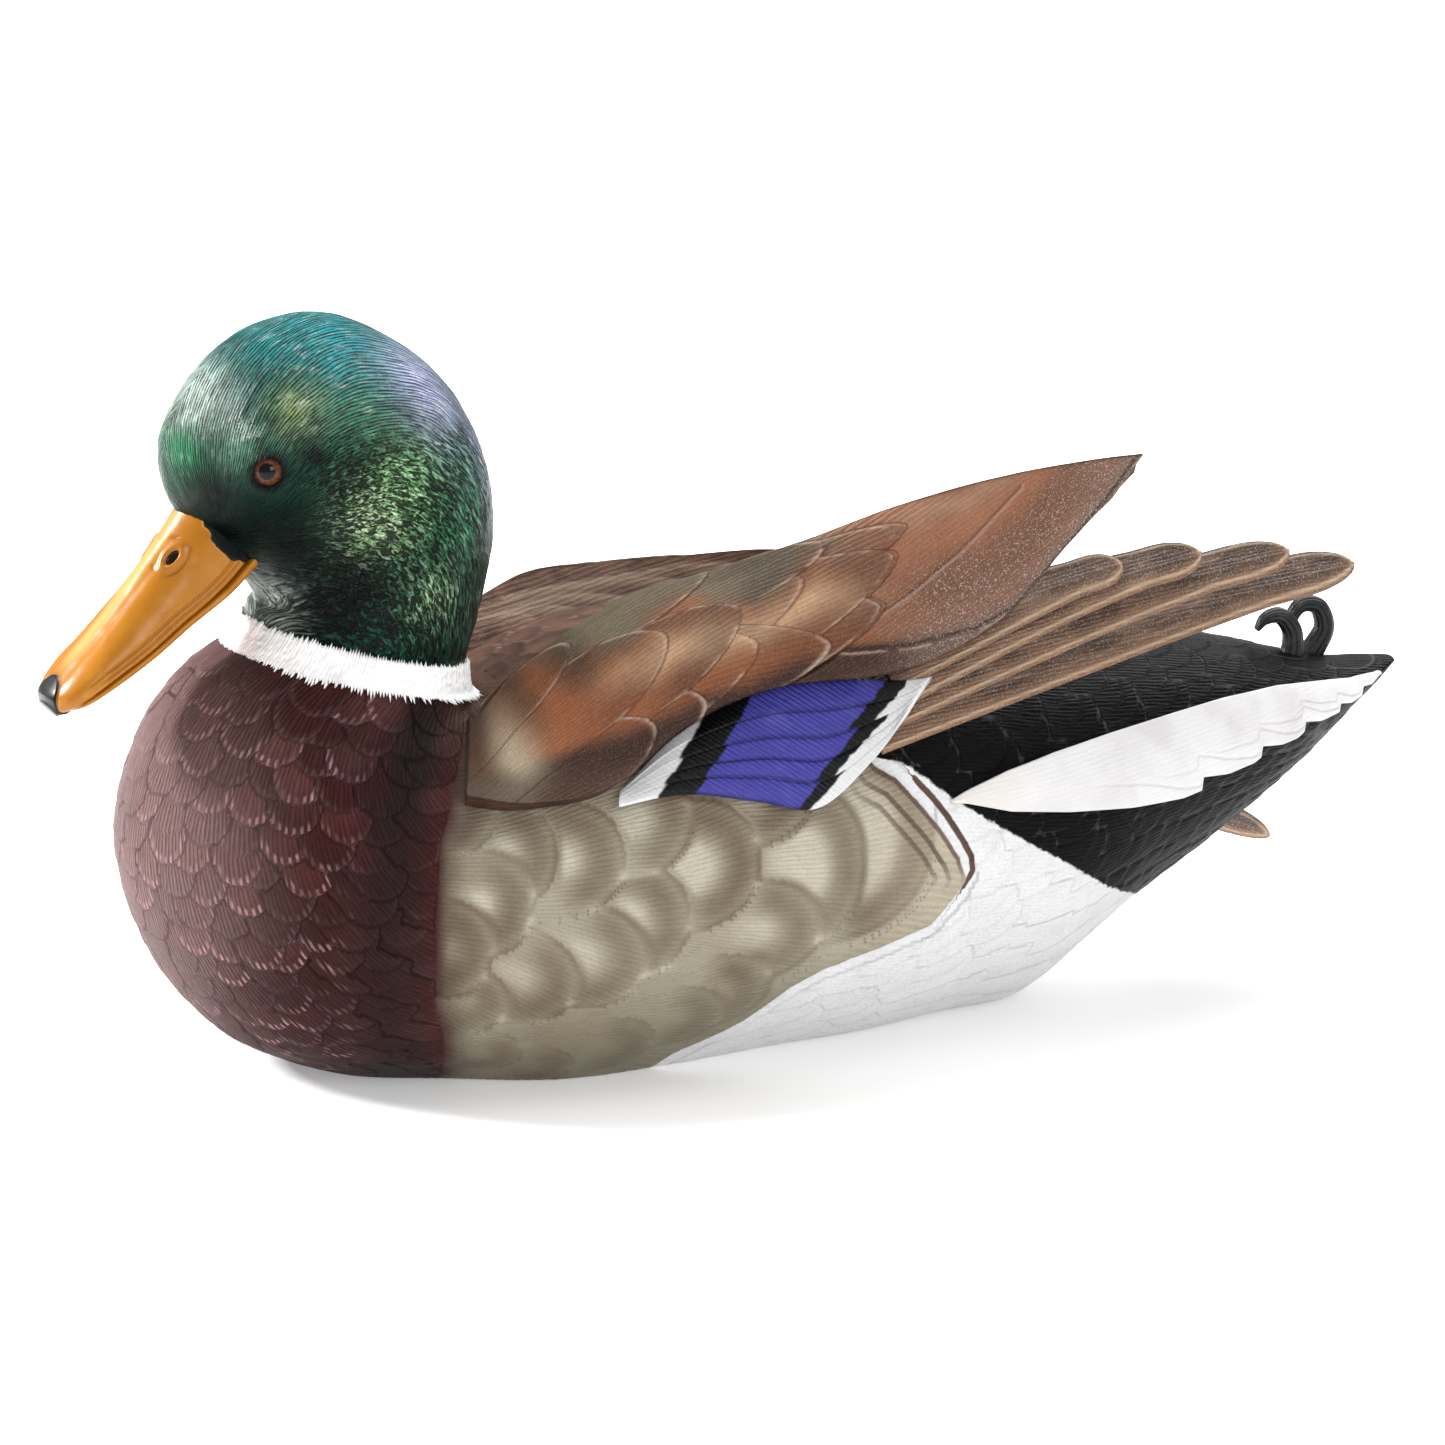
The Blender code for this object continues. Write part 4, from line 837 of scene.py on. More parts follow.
    shape = grid.shape[:2]
    trim = channels(
        edge / 10,
        step(breast, 18, 30) * (0.15 + 0.85 * step(chance, 0.3, 0.65)) * step(along, -2.5, 2.5),
        mix(np.where(white > 0, 0.16, 0.55), np.where(breast > 0, 1.0, 0.42), step(inside, -1, 2)))
    place = barb_place(over, along, np.where(breast > 0, 0.03, 0.014))
    trim[:, 2] *= ~(meeting(place.reshape(shape)).reshape(-1) & (breast < 0) & (inside > 0))
    area = channels(inside, white, border(y, z, TIP_LINE))
    tip_area = step(y, 22, 40) * step(z, 50, 62) * step(inside, 14, 8)
    material = feather_material(
        "body_paint", period=1.25, lines=0.30, grain=0.20, strength=0.8, dash=BREAST_DASH, region=body_regions,
        Roughness=0.46, Specular_IOR_Level=0.06)
    piece(
        "painted_body", shaped, "hull", "painted_body", material, "body_shell",
        paint=colour, trim=trim, area=area, barb=place, run=along, tip=tip_area)


# ---------------------------------------------------------------- wings
def drooped(points):
    """Left-side points as they lie on the right, where the wing is carried lower."""
    moved = np.array(points, float)
    back = np.maximum(moved[..., 1] - DROOP_START, 0)
    moved[..., 2] -= DROOP_SLOPE * back + DROOP_CURVE * back**2
    moved[..., 0] = -(moved[..., 0] + SPREAD_SLOPE * back + SPREAD_CURVE * back**2)
    moved[..., 1] += TRAIL_CURVE * back**2
    return moved


def smoothed(loop, reach):
    """A closed row of points with its sharp turns rounded."""
    weights = np.exp(-np.linspace(-2, 2, 2 * reach + 1) ** 2)
    weights /= weights.sum()
    return sum(np.roll(loop, k - reach, axis=0) * w for k, w in enumerate(weights))


def wing_section(row):
    """One section: bulged outer face, underside, the part on the back, and the slope up to the ridge."""
    ridge, lower, bulge = row[0:3], row[3:6], row[6]
    low = np.array([row[7], lower[1] + 2.0, row[8]])
    high = np.array([row[9], ridge[1] - 1.0, row[10]])
    outward = unit(np.cross([0, 1, 0], ridge - lower))
    face, under, inner, slope = (np.linspace(0, 1, count)[:, None] for count in WING_COLUMNS)
    up = slope[1:-1]
    return np.vstack([
        ridge + (lower - ridge) * face + outward * bulge * 4 * face * (1 - face),
        lower + (low - lower) * under[1:],
        low + (high - low) * inner[1:],
        high + (ridge - high) * up + outward * 0.12 * (up - up * up) * abs(ridge - high).sum()])


# Columns of a wing section, with both ends: outer face, underside, the part on the back, and the slope
WING_COLUMNS = (150, 15, 17, 61)
OLIVE, RUFOUS, DARK_WING = srgb(106, 97, 78), srgb(136, 82, 52), srgb(58, 39, 32)
WING_SHAFT = ((26, 126), (38, 131), (50, 137), (68, 148), (88, 163))
WING_BROWN, WING_EDGE = srgb(92, 70, 58), srgb(176, 150, 134)


def make_wing(side):
    columns = WING_COLUMNS[0]
    places = even_rows(WING_ROWS, 420)
    grid = np.array([smoothed(wing_section(row), 2) for row in rows_at(WING_ROWS, places)])
    normals = normals_of(grid)
    look = nearest(grid[:, :columns], normals[:, :columns])
    spot = nearest_side(grid[:, :columns])
    flat = grid.reshape(-1, 3)
    y, z = flat[:, 1], flat[:, 2]
    shape = grid.shape[:2]

    tips = WING_FEATHERS
    centre, tip, across = side_frame(tips, look, spot)
    half, length, power = (np.array([f[k] for f in tips], float) for k in (3, 4, 5))
    rise, edge, over, along, chance = feathers_on(
        flat, centre, tip, across, half, length, 60, power=power, soft=0.45)
    big = border(z, y, [(b, a) for a, b in BIG_TERTIAL])
    big_edge = np.clip(np.abs(big), 0, REACH)
    covered = edge < REACH - 0.5
    on_big = (big < 0) & ~covered
    below_big = (big >= 0) & ~covered
    edge = np.where(covered, edge, np.where(on_big, big_edge, REACH))
    way = np.array([0.0, 0.90, 0.44])
    over = np.where(covered, over, flat @ np.cross([1.0, 0, 0], way))
    along = np.where(covered, along, flat @ way)
    high = 1.15 * rise**1.4 + np.where(on_big, 0.9 * step(big, 0.5, -0.5), 0)
    high = np.where(below_big, 0.15, high)
    # the face that lies over the back has its own long feathers
    back_face = columns + WING_COLUMNS[1] - 1
    inner_look = nearest(grid[:, back_face:], normals[:, back_face:])
    inner_spot = nearest_side(grid[:, back_face:])
    centre, tip, across = side_frame(INNER_FEATHERS, inner_look, inner_spot)
    half, length, power = (np.array([f[k] for f in INNER_FEATHERS], float) for k in (3, 4, 5))
    within = np.tile(np.arange(shape[1]) >= columns, shape[0])
    found = feathers_on(flat[within], centre, tip, across, half, length, 60, power=power, soft=0.5)
    inner_edge = np.full(len(flat), REACH)
    inner_edge[within] = found[1]
    high[within] = 1.0 * found[0] ** 1.4
    over[within] = z[within] * 0.92 - y[within] * 0.39
    along[within] = y[within] * 0.92 + z[within] * 0.39
    outer = np.tile((np.arange(shape[1]) < columns).astype(float), shape[0])
    share = np.tile(np.clip(np.arange(shape[1]) / (columns - 1.0), 0, 1), shape[0])
    section = np.repeat(np.arange(shape[0]), shape[1])
    ends = step(section, 2, 16) * step(section, shape[0] - 3, shape[0] - 14)
    sides = np.where(within, step(z, 112, 122), outer * step(share, -0.02, 0.05) * step(share, 1.0, 0.93))
    relief = high * sides
    relief += 0.3 * fractal(flat, 14, 3) + 0.08 * fractal(flat, 3.0, 7)
    shaped = grid + normals * (relief * ends - 0.5).reshape(shape)[..., None]

    off = z - np.interp(y, *np.array(ORANGE_EDGE).T)
    blot = fractal(flat, 22, 12)
    fine = tones(flat, 5, 14)
    off = off + 3.5 * blot
    rear = step(y, 34, 62)
    colour = painted(
        DARK_WING,
        (WING_BROWN, step(off, -4, -13)),
        (RUFOUS, step(off, -2.0, 4.5)),
        ((206, 170, 134), hump(off, 14.5, 5.0) * step(y, -48, -24) * step(y, 50, 32) * (0.5 + 0.35 * fine)),
        (OLIVE, step(off + 4 * blot, 18, 27) * step(y, 50, 18)),
        ((60, 52, 42), np.maximum(
            hump(y, -46, 7) * hump(z, 122, 8) * 0.75, hump(y, -61, 5) * hump(z, 112, 8) * 0.7)),
        ((176, 164, 140), hump(y, -67, 6.5) * hump(z, 98, 10) * 0.85))
    band = off - 0.16 * (y - 60) - 0.010 * np.maximum(y - 66, 0) ** 2 + 2.0 * blot
    colour = painted(
        colour,
        ((60, 41, 34), rear * step(band, 26, 18)),
        ((108, 88, 78), rear * step(band, 13, 3) * 0.8),
        ((172, 108, 74), hump(band, 28.0, 4.0) * step(y, 30, 52) * step(y, 112, 92) * 0.95),
        ((186, 152, 124), rear * hump(band, 34.0, 3.5) * step(y, 104, 84) * 0.75),
        ((112, 96, 76), rear * step(band, 35, 40) * 0.85),
        ((112, 94, 84), step(y, 92, 116) * 0.8),
        ((120, 84, 66), step(big, 0, 6) * step(y, 20, 40) * 0.7))
    shadow = step(edge, 13, 3.0) * step(along, -16, 6) * (0.3 + 0.55 * chance) * np.where(covered, 1, 0.4)
    colour = mix(colour, mix(colour, srgb(48, 32, 27), 0.75), shadow)
    line = hump(edge, 0.3, 0.40) * step(fine, 0.30, 0.65) * np.where(covered, step(along, -10, 4), 0.9)
    colour = mix(colour, WING_EDGE, line * 0.75)
    # Painted shadow: a dark line just below the big tertial's raised edge; a dark line along the shaft as well.
    crease = hump(np.where(on_big | below_big, big, 9), 0.9, 0.55)
    shaft = border(y, z, WING_SHAFT)
    crease = np.maximum(crease, hump(shaft, 0.0, 0.35) * np.where(covered, 0, 1) * 0.7)
    colour = painted(
        colour,
        (WING_EDGE, hump(shaft, 0.8, 0.4) * np.where(covered, 0, 1) * 0.35),
        ((40, 27, 23), crease * 0.8))
    front_end = step(y + 3 * blot, -71, -79)
    front_end = np.maximum(front_end, step(section, 26, 3) * 0.9)
    colour = painted(
        colour,
        ((70, 48, 42), front_end * 0.9),
        ((62, 43, 36), step(y, -34, -52) * step(z + 3 * blot, 97, 90) * step(z, 80, 84) * 0.6),
        ((112, 98, 84), step(y, -58, -74) * step(z, 99, 89) * 0.55))
    inside = 1 - outer
    hidden = painted(
        srgb(100, 72, 57),
        ((62, 44, 37), step(fine, 0.3, 0.8)),
        ((150, 130, 110), step(inner_edge, 4.5, 0.6) * step(z, 112, 132) * 0.6),
        ((46, 32, 27), hump(inner_edge, 6.5, 3.5) * 0.6),
        # painted shade: darker down the inner face, into the hollow between the wing and the back
        ((48, 35, 30), step(z, 116, 104) * 0.6))
    colour = mix(colour, hidden, inside)
    # The right wing is painted darker all over: painted shade.
    if side == "right":
        colour = mix(colour, srgb(84, 62, 50), 0.4)
    dashes = (0.15 + 0.85 * rear * step(band, 30, 12)) * outer
    trim = channels(edge / 10, dashes, (0.75 - 0.25 * rear) * (0.5 + 0.5 * outer))
    material = feather_material(
        "wing_paint", period=1.15, lines=0.22, grain=0.30, strength=0.8, salt=0.5, Roughness=0.44,
        Specular_IOR_Level=0.10)
    piece(
        f"painted_wing_{side}", drooped(shaped) if side == "right" else shaped, "hull", "brown_wing", material,
        f"wing_{side}", paint=colour, trim=trim, run=along,
        barb=barb_place(over, along, np.where(covered & ~within, 0.008, 0.0)))


def even_rows(table, count):
    """Fractional row numbers at even distances along the middle of the rows."""
    coarse = np.linspace(0, len(table) - 1, 400)
    rows = rows_at(table, coarse)
    run = lengths((rows[:, 0:3] + rows[:, 3:6]) / 2)
    return np.interp(np.linspace(0, run[-1], count), run, coarse)


# ---------------------------------------------------------------- thin feathers
def vane(edge_a, edge_b, bulge, thick, across, rim=0.5, relief=None):
    """A closed thin sheet between two edges: a grid of its outer face and then its inner face."""
    tangent = np.gradient((edge_a + edge_b) / 2, axis=0)
    normal = unit(np.cross(tangent, edge_b - edge_a))
    if normal[:, 0].mean() * edge_b[:, 0].mean() < 0:
        normal = -normal
    v = np.linspace(0, 1, across)
    dome = (4 * v * (1 - v))[None, :, None]
    a, b, n = edge_a[:, None], edge_b[:, None], normal[:, None]
    middle = a + (b - a) * v[None, :, None] + n * bulge[:, None, None] * dome
    half = thick[:, None, None] / 2 * (rim + (1 - rim) * np.sqrt(dome))
    outer = middle + n * half
    if relief is not None:
        outer = outer + n * relief[..., None]
    inner = (middle - n * half)[:, ::-1]
    return np.concatenate([outer, inner], axis=1)


def folded(values):
    """Values for a sheet's outer face, repeated for its inner face."""
    return np.concatenate([values, values[:, ::-1]], axis=1)


BLUE, BLUE_DARK = srgb(64, 62, 146), srgb(38, 36, 96)


def make_secondaries(side):
    places = even_rows(SECONDARY_ROWS, 260)
    rows = rows_at(SECONDARY_ROWS, places)
    across = 110
    v = np.linspace(0, 1, across)
    lower_steps = np.searchsorted(SPECULUM_FEATHERS, v)
    starts = np.r_[0.0, SPECULUM_FEATHERS]
    ends = np.r_[SPECULUM_FEATHERS, 1.0]
    local = (v - starts[lower_steps]) / (ends - starts)[lower_steps]
    tile = 0.85 * local**1.5 - 0.45 * hump(local, 0.0, 0.06) - 0.25
    relief = np.repeat(tile[None], len(rows), 0)
    along = np.linspace(0, 1, len(rows))[:, None]
    relief = relief * step(along, 0, 0.08) * step(along, 1, 0.97)
    edge_a, edge_b = rows[:, 0:3], rows[:, 3:6]
    grid = vane(edge_a, edge_b, rows[:, 6], rows[:, 7], across, relief=relief)
    outer = grid[:, :across]
    y, z = outer[..., 1], outer[..., 2]
    ragged = 0.9 * np.array([0.0, 1.3, -0.6, 1.0, -0.4])[lower_steps][None] + 1.6 * (local[None] - 0.5)
    flat = outer.reshape(-1, 3)
    ragged = ragged + 0.7 * noise(flat, 2.0, 5).reshape(y.shape)
    lines = [(-30, 89, -11, 110), (-19.5, 89, 0, 110), (11, 83, 40.5, 112), (14.5, 82, 48.5, 113)]
    places = [y - (a + (z - b) * (c - a) / (d - b)) + ragged * (0.5 if k < 2 else 1.0)
              for k, (a, b, c, d) in enumerate(lines)]
    tone = tones(outer, 7, 3)
    colour = np.broadcast_to(WHITE, (*y.shape, 3))
    colour = mix(colour, BLACK, step(places[0], -0.4, 0.4))
    blue = mix(BLUE, BLUE_DARK, (hump(local, 0, 0.10) + hump(local, 1, 0.05))[None] * 0.8)
    blue = mix(np.broadcast_to(blue, colour.shape), srgb(92, 92, 166), step(tone, 0.5, 0.9) * 0.4)
    colour = painted(
        colour,
        (blue, step(places[1], -0.4, 0.4)),
        (BLACK, step(places[2], -0.4, 0.4)),
        (WHITE, step(places[3], -0.4, 0.4)))
    plain = 1 - step(places[0], -0.4, 0.4) + step(places[3], -0.4, 0.4)
    trim = channels(1.4, 0, 1.0 - 0.7 * plain)
    barb, run = y * 0.57 + z * 0.82, y * 0.82 - z * 0.57
    if side == "right":
        grid = drooped(grid)
    material = feather_material(
        "speculum_paint", period=1.25, lines=0.16, grain=0.12, strength=0.7, Roughness=0.38,
        Specular_IOR_Level=0.2)
    piece(
        f"speculum_{side}", grid, "hull", "blue_speculum", material, f"secondaries_{side}",
        paint=folded(colour), trim=folded(trim), barb=folded(barb), run=folded(run))


PRIMARY_BROWN, PRIMARY_DARK, PRIMARY_EDGE = srgb(98, 75, 60), srgb(52, 39, 33), srgb(170, 146, 120)


def make_primary(side, number, feather):
    root, tip = np.array(feather[0:3]), np.array(feather[3:6])
    width, arch = feather[6:8]
    along = unit(tip - root)
    outward = np.array([0.80, -0.10, 0.55])
    outward = unit(outward - along * (outward @ along))
    side_way = np.cross(outward, along)
    t = 1 - np.linspace(1, 0, 220) ** 1.25
    blade = 0.75 + 0.25 * np.sin(np.pi * np.minimum(t / 0.8, 1.0))
    tip_round = np.sqrt(np.maximum(1 - np.maximum((t - 0.87) / 0.13, 0) ** 2.2, 0.006))
    half = (width / 2 * blade * tip_round)[:, None]
    middle = root + (tip - root) * t[:, None] + np.array([0, 0, arch]) * np.sin(np.pi * t)[:, None]
    upper = 1 + (0.32 * step(t, 0.55, 0.9)[:, None] if number == 4 else 0)
    edge_a, edge_b = middle - side_way * half, middle + side_way * half * upper
    across = 48
    v = np.linspace(0, 1, across)[None]
    length = np.linalg.norm(tip - root)
    to_tip = ((1 - t) * length * 0.9)[:, None] + 0.2
    to_low, to_high = np.minimum(v * 2 * half, to_tip), np.minimum((1 - v) * 2 * half, to_tip)
    to_edge = np.minimum(to_low, to_high)
    shaft = np.abs(v - 0.42) * 2 * half
    rim_line = hump(to_edge, 1.3, 0.45)
    relief = 0.45 * rim_line + 0.25 * hump(shaft, 0, 0.7) - 0.1
    grid = vane(edge_a, edge_b, 0.6 * tip_round, np.full(len(t), PRIMARY_THICKNESS), across, 0.6, relief)
    outer = grid[:, :across]
    tone = tones(outer, 12, number)
    streak = tones(np.stack([(outer @ along) / 9, outer @ side_way, outer @ outward], -1), 1.6, 4)
    colour = painted(
        PRIMARY_BROWN,
        (PRIMARY_DARK, step(tone, 0.35, 0.75) * 0.7),
        (PRIMARY_DARK, step(to_high, 4.5, 1.2) * 0.6),
        ((150, 128, 110), step(streak, 0.55, 0.8) * 0.4),
        ((150, 112, 84), step(to_low, 5, 2) * 0.45),
        (PRIMARY_EDGE, rim_line * (0.45 + 0.5 * step(to_low, 4, 1))),
        (PRIMARY_DARK, step(t, 0.62, 1.0)[:, None] * step(to_edge, 1.8, 3.0) * 0.45))
    trim = channels(1.4 + 0 * to_edge, 1, 0.8)
    barb, run = (outer @ side_way) + 0.12 * (outer @ along), outer @ along
    if side == "right":
        grid = drooped(grid)
    material = feather_material(
        "flight_feather_paint", period=1.2, lines=0.22, grain=0.2, strength=0.6, salt=0.35, Roughness=0.42,
        Specular_IOR_Level=0.2)
    piece(
        f"flight_feather_{side}_{number}", grid, "hull", "brown_feather", material, f"primary_{side}_{number}",
        paint=folded(colour), trim=folded(trim), barb=folded(barb), run=folded(run))


# The white tail feathers' edges (y, z): the smooth upper one, and the lower one stepped at each tip
TAIL_TOP = ((60, 77.5), (66, 79.5), (80, 83.5), (96, 86.5), (118, 89.0), (140, 91.0), (160, 92.6), (180, 93.0),
            (196, 91.6), (210, 90.4), (218, 90.6), (223, 90.2))
TAIL_LOW = (
    (60, 77), (66, 75.8), (80, 72), (100, 69.4), (122, 67.8), (140, 67.6), (147, 68.6), (148.2, 72.2),
    (158, 71.6), (168, 73), (171, 74.2), (172, 77.2), (180, 76.4), (186, 77.2), (189, 78.6),
    (190, 81.4), (197, 80.6), (204, 81.8), (205, 84.4), (210, 83.8), (214, 85), (215, 87.6),
    (219, 87.8), (223, 90),
)


def make_tail_feathers(side):
    rows = rows_at(TAIL_SIDE_ROWS, even_rows(TAIL_SIDE_ROWS, 380))
    first, last = rows[0], rows[-1]
    lead = first[None].repeat(14, 0)
    lead[:, 0:6] -= np.linspace(5.0, 0.35, 14)[:, None] * np.array([-0.35, 1.0, 0, -0.35, 1.0, 0])
    tail = last[None].repeat(14, 0)
    tail[:, 0:6] += np.linspace(0.2, 1.8, 14)[:, None] * np.array([-0.42, 1.0, 0, -0.42, 1.0, 0])
    rows = np.vstack([lead, rows, tail])
    edge_a, edge_b = rows[:, 0:3].copy(), rows[:, 3:6].copy()
    slope = (edge_b - edge_a) / (edge_b - edge_a)[:, 2:3]
    top = np.interp(edge_a[:, 1], *np.array(TAIL_TOP).T)
    low = np.interp(edge_b[:, 1], *np.array(TAIL_LOW).T)
    edge_b = edge_b + slope * (low - edge_b[:, 2])[:, None] * (1, 0, 1)
    edge_a = edge_a + slope * (top - edge_a[:, 2])[:, None] * (1, 0, 1)
    y = edge_b[:, 1]
    across = 90
    v = np.linspace(0, 1, across)[None]
    span = np.linalg.norm(edge_b - edge_a, axis=1)[:, None]
    groove, lap = np.zeros((len(rows), across)), np.zeros((len(rows), across))
    for tip_y in (148, 172, 190, 205, 215):
        down = (1 - v) * span
        line = 1.2 + 4.2 * step(y, tip_y + 2, tip_y - 26)[:, None] + 0.05 * np.clip(tip_y - y, 0, 80)[:, None]
        seen = step(y, tip_y - 46, tip_y - 20)[:, None] * step(y, tip_y + 1.5, tip_y - 1.5)[:, None]
        groove = np.maximum(groove, hump(down, line, 0.4) * seen)
        lap = np.maximum(lap, step(down, line + 0.4, line - 0.4) * seen)
    relief = -0.35 * groove - 0.25 * lap
    thick = np.minimum(rows[:, 7], 0.4 + span[:, 0] * 0.35)
    grid = vane(edge_a, edge_b, np.minimum(rows[:, 6], span[:, 0] * 0.1), thick, across, 0.6, relief)
    outer = grid[:, :across]
    tone = tones(outer, 14, 5)
    colour = painted(
        srgb(216, 215, 215),
        ((204, 202, 202), step(tone, 0.4, 0.8)),
        # painted shade in the carved grooves at the feather tips
        ((186, 182, 178), groove * 0.5),
        ((206, 200, 190), step(y, 96, 66)[:, None] * 0.5))
    trim = channels(1.4 + 0 * groove, 0, 0.4)
    barb, run = outer[..., 2] * 0.95 - outer[..., 1] * 0.12, outer[..., 1]
    if side == "right":
        grid = grid * (-1, 1, 1)
    material = feather_material(
        "white_feather_paint", period=1.3, lines=0.05, grain=0.03, strength=0.4, Roughness=0.42,
        Specular_IOR_Level=0.25)
    piece(
        f"white_tail_{side}", grid, "hull", "white_paint", material, f"tail_feathers_{side}",
        paint=folded(colour), trim=folded(trim), barb=folded(barb), run=folded(run))


def make_curl(name):
    x, path = CURLS[name]
    table = rows_at(path, np.linspace(0, len(path) - 1, 90))
    tangent = unit(np.gradient(table[:, :2], axis=0))
    angle = 2 * np.pi * np.arange(40) / 40
    c, s = np.cos(angle), np.sin(angle)
    groove = 1 - 0.10 * hump(np.abs(c), 0.0, 0.18) + 0.03 * np.sin(angle * 9)
    width, thick = table[:, 2:3] / 2 * 1.15, table[:, 3:4] / 2 * 1.55
    grid = np.stack([
        x + width * c * groove,
        table[:, 0:1] - tangent[:, 1:2] * thick * s * groove,
        table[:, 1:2] + tangent[:, 0:1] * thick * s * groove,
    ], axis=2)
    tone = tones(grid, 4, 2)
    colour = mix(srgb(24, 25, 27), srgb(58, 58, 60), step(tone, 0.55, 0.9) * 0.7)
    trim = channels(1.4 + 0 * tone, 0, 0.6)
    barb = np.tile(angle * 2.2, (len(table), 1))
    material = feather_material(
        "black_feather_paint", period=1.2, lines=0.3, grain=0.3, strength=0.7, Roughness=0.34,
        Specular_IOR_Level=0.25)
    piece(
        f"curled_feather_{name}", grid, "hull", "black_paint", material, f"tail_curl_{name}",
        paint=colour, trim=trim, barb=barb, run=barb * 0)


# ---------------------------------------------------------------- head
def turned_head(points):
    """Head points as they stand at rest, a little towards the duck's left."""
    frame_matrix = Matrix.Translation(Vector(NECK_SEAT)) @ Matrix.Rotation(-NECK_TILT, 4, "X")
    turn = np.array(frame_matrix @ Matrix.Rotation(HEAD_REST_TURN, 4, "Z") @ frame_matrix.inverted())
    return points @ turn[:3, :3].T + turn[:3, 3]


# Head colours, partly the iridescent paint's tints and partly painted highlights and sheen on the forehead,
# brow, nape, cheek and throat: centre, reach in mm, screen colour, strength. The dark places leave out the
# colour, and those under the cheek are painted shade.
HEAD_TINTS_AND_HIGHLIGHTS = (
    ((12, -108, 208), 21, (2, 116, 122), 1.0), ((4, -126, 202), 13, (12, 92, 88), 0.75),
    ((16, -84, 206), 12, (70, 126, 128), 0.7), ((22, -78, 199), 15, (150, 152, 190), 0.95),
    ((20, -60, 180), 13, (96, 104, 136), 0.85), ((28, -70, 178), 10, (70, 116, 104), 0.6),
    ((27, -104, 192), 10, (64, 128, 88), 0.6), ((30, -95, 172), 14, (92, 138, 88), 0.9),
    ((31, -103, 163), 10, (132, 160, 116), 0.9), ((30, -70, 160), 12, (40, 112, 76), 0.6),
    ((24, -122, 195), 9, (112, 134, 86), 0.8), ((6, -147, 198), 11, (170, 184, 175), 0.75),
    ((20, -140, 186), 8, (84, 128, 104), 0.7), ((8, -150, 182), 8, (20, 116, 72), 0.7),
    ((28, -84, 140), 9, (92, 124, 88), 0.8), ((24, -64, 132), 9, (44, 88, 72), 0.6),
    ((12, -126, 137), 9, (160, 168, 162), 0.8),
)
HEAD_DARKS_AND_SHADE = (
    ((25, -119, 182), 6, 0.9), ((17, -143, 162), 12, 0.9), ((25, -124, 156), 14, 0.9),
    ((22, -130, 146), 10, 0.9), ((24, -112, 138), 10, 0.95), ((30, -106, 145), 9, 0.85),
    ((30, -108, 178), 7, 0.7), ((14, -146, 174), 6, 0.6), ((28, -98, 182), 6, 0.4),
)
HEAD_GREEN, HEAD_DARK = srgb(12, 48, 37), srgb(4, 8, 8)
PAINTED_GLINT = (0.70, 0.76, 0.66)
BARBS_FROM = np.array([-140.0, 158.0])
BILL_EDGE = (
    (0, -158, 172), (0, -147.9, 164.2), (8, -146.3, 166.4), (11, -144.6, 163.2), (13, -141.7, 155.5),
    (14, -137.6, 151.9), (14, -131, 149.2), (13, -127, 148),
)


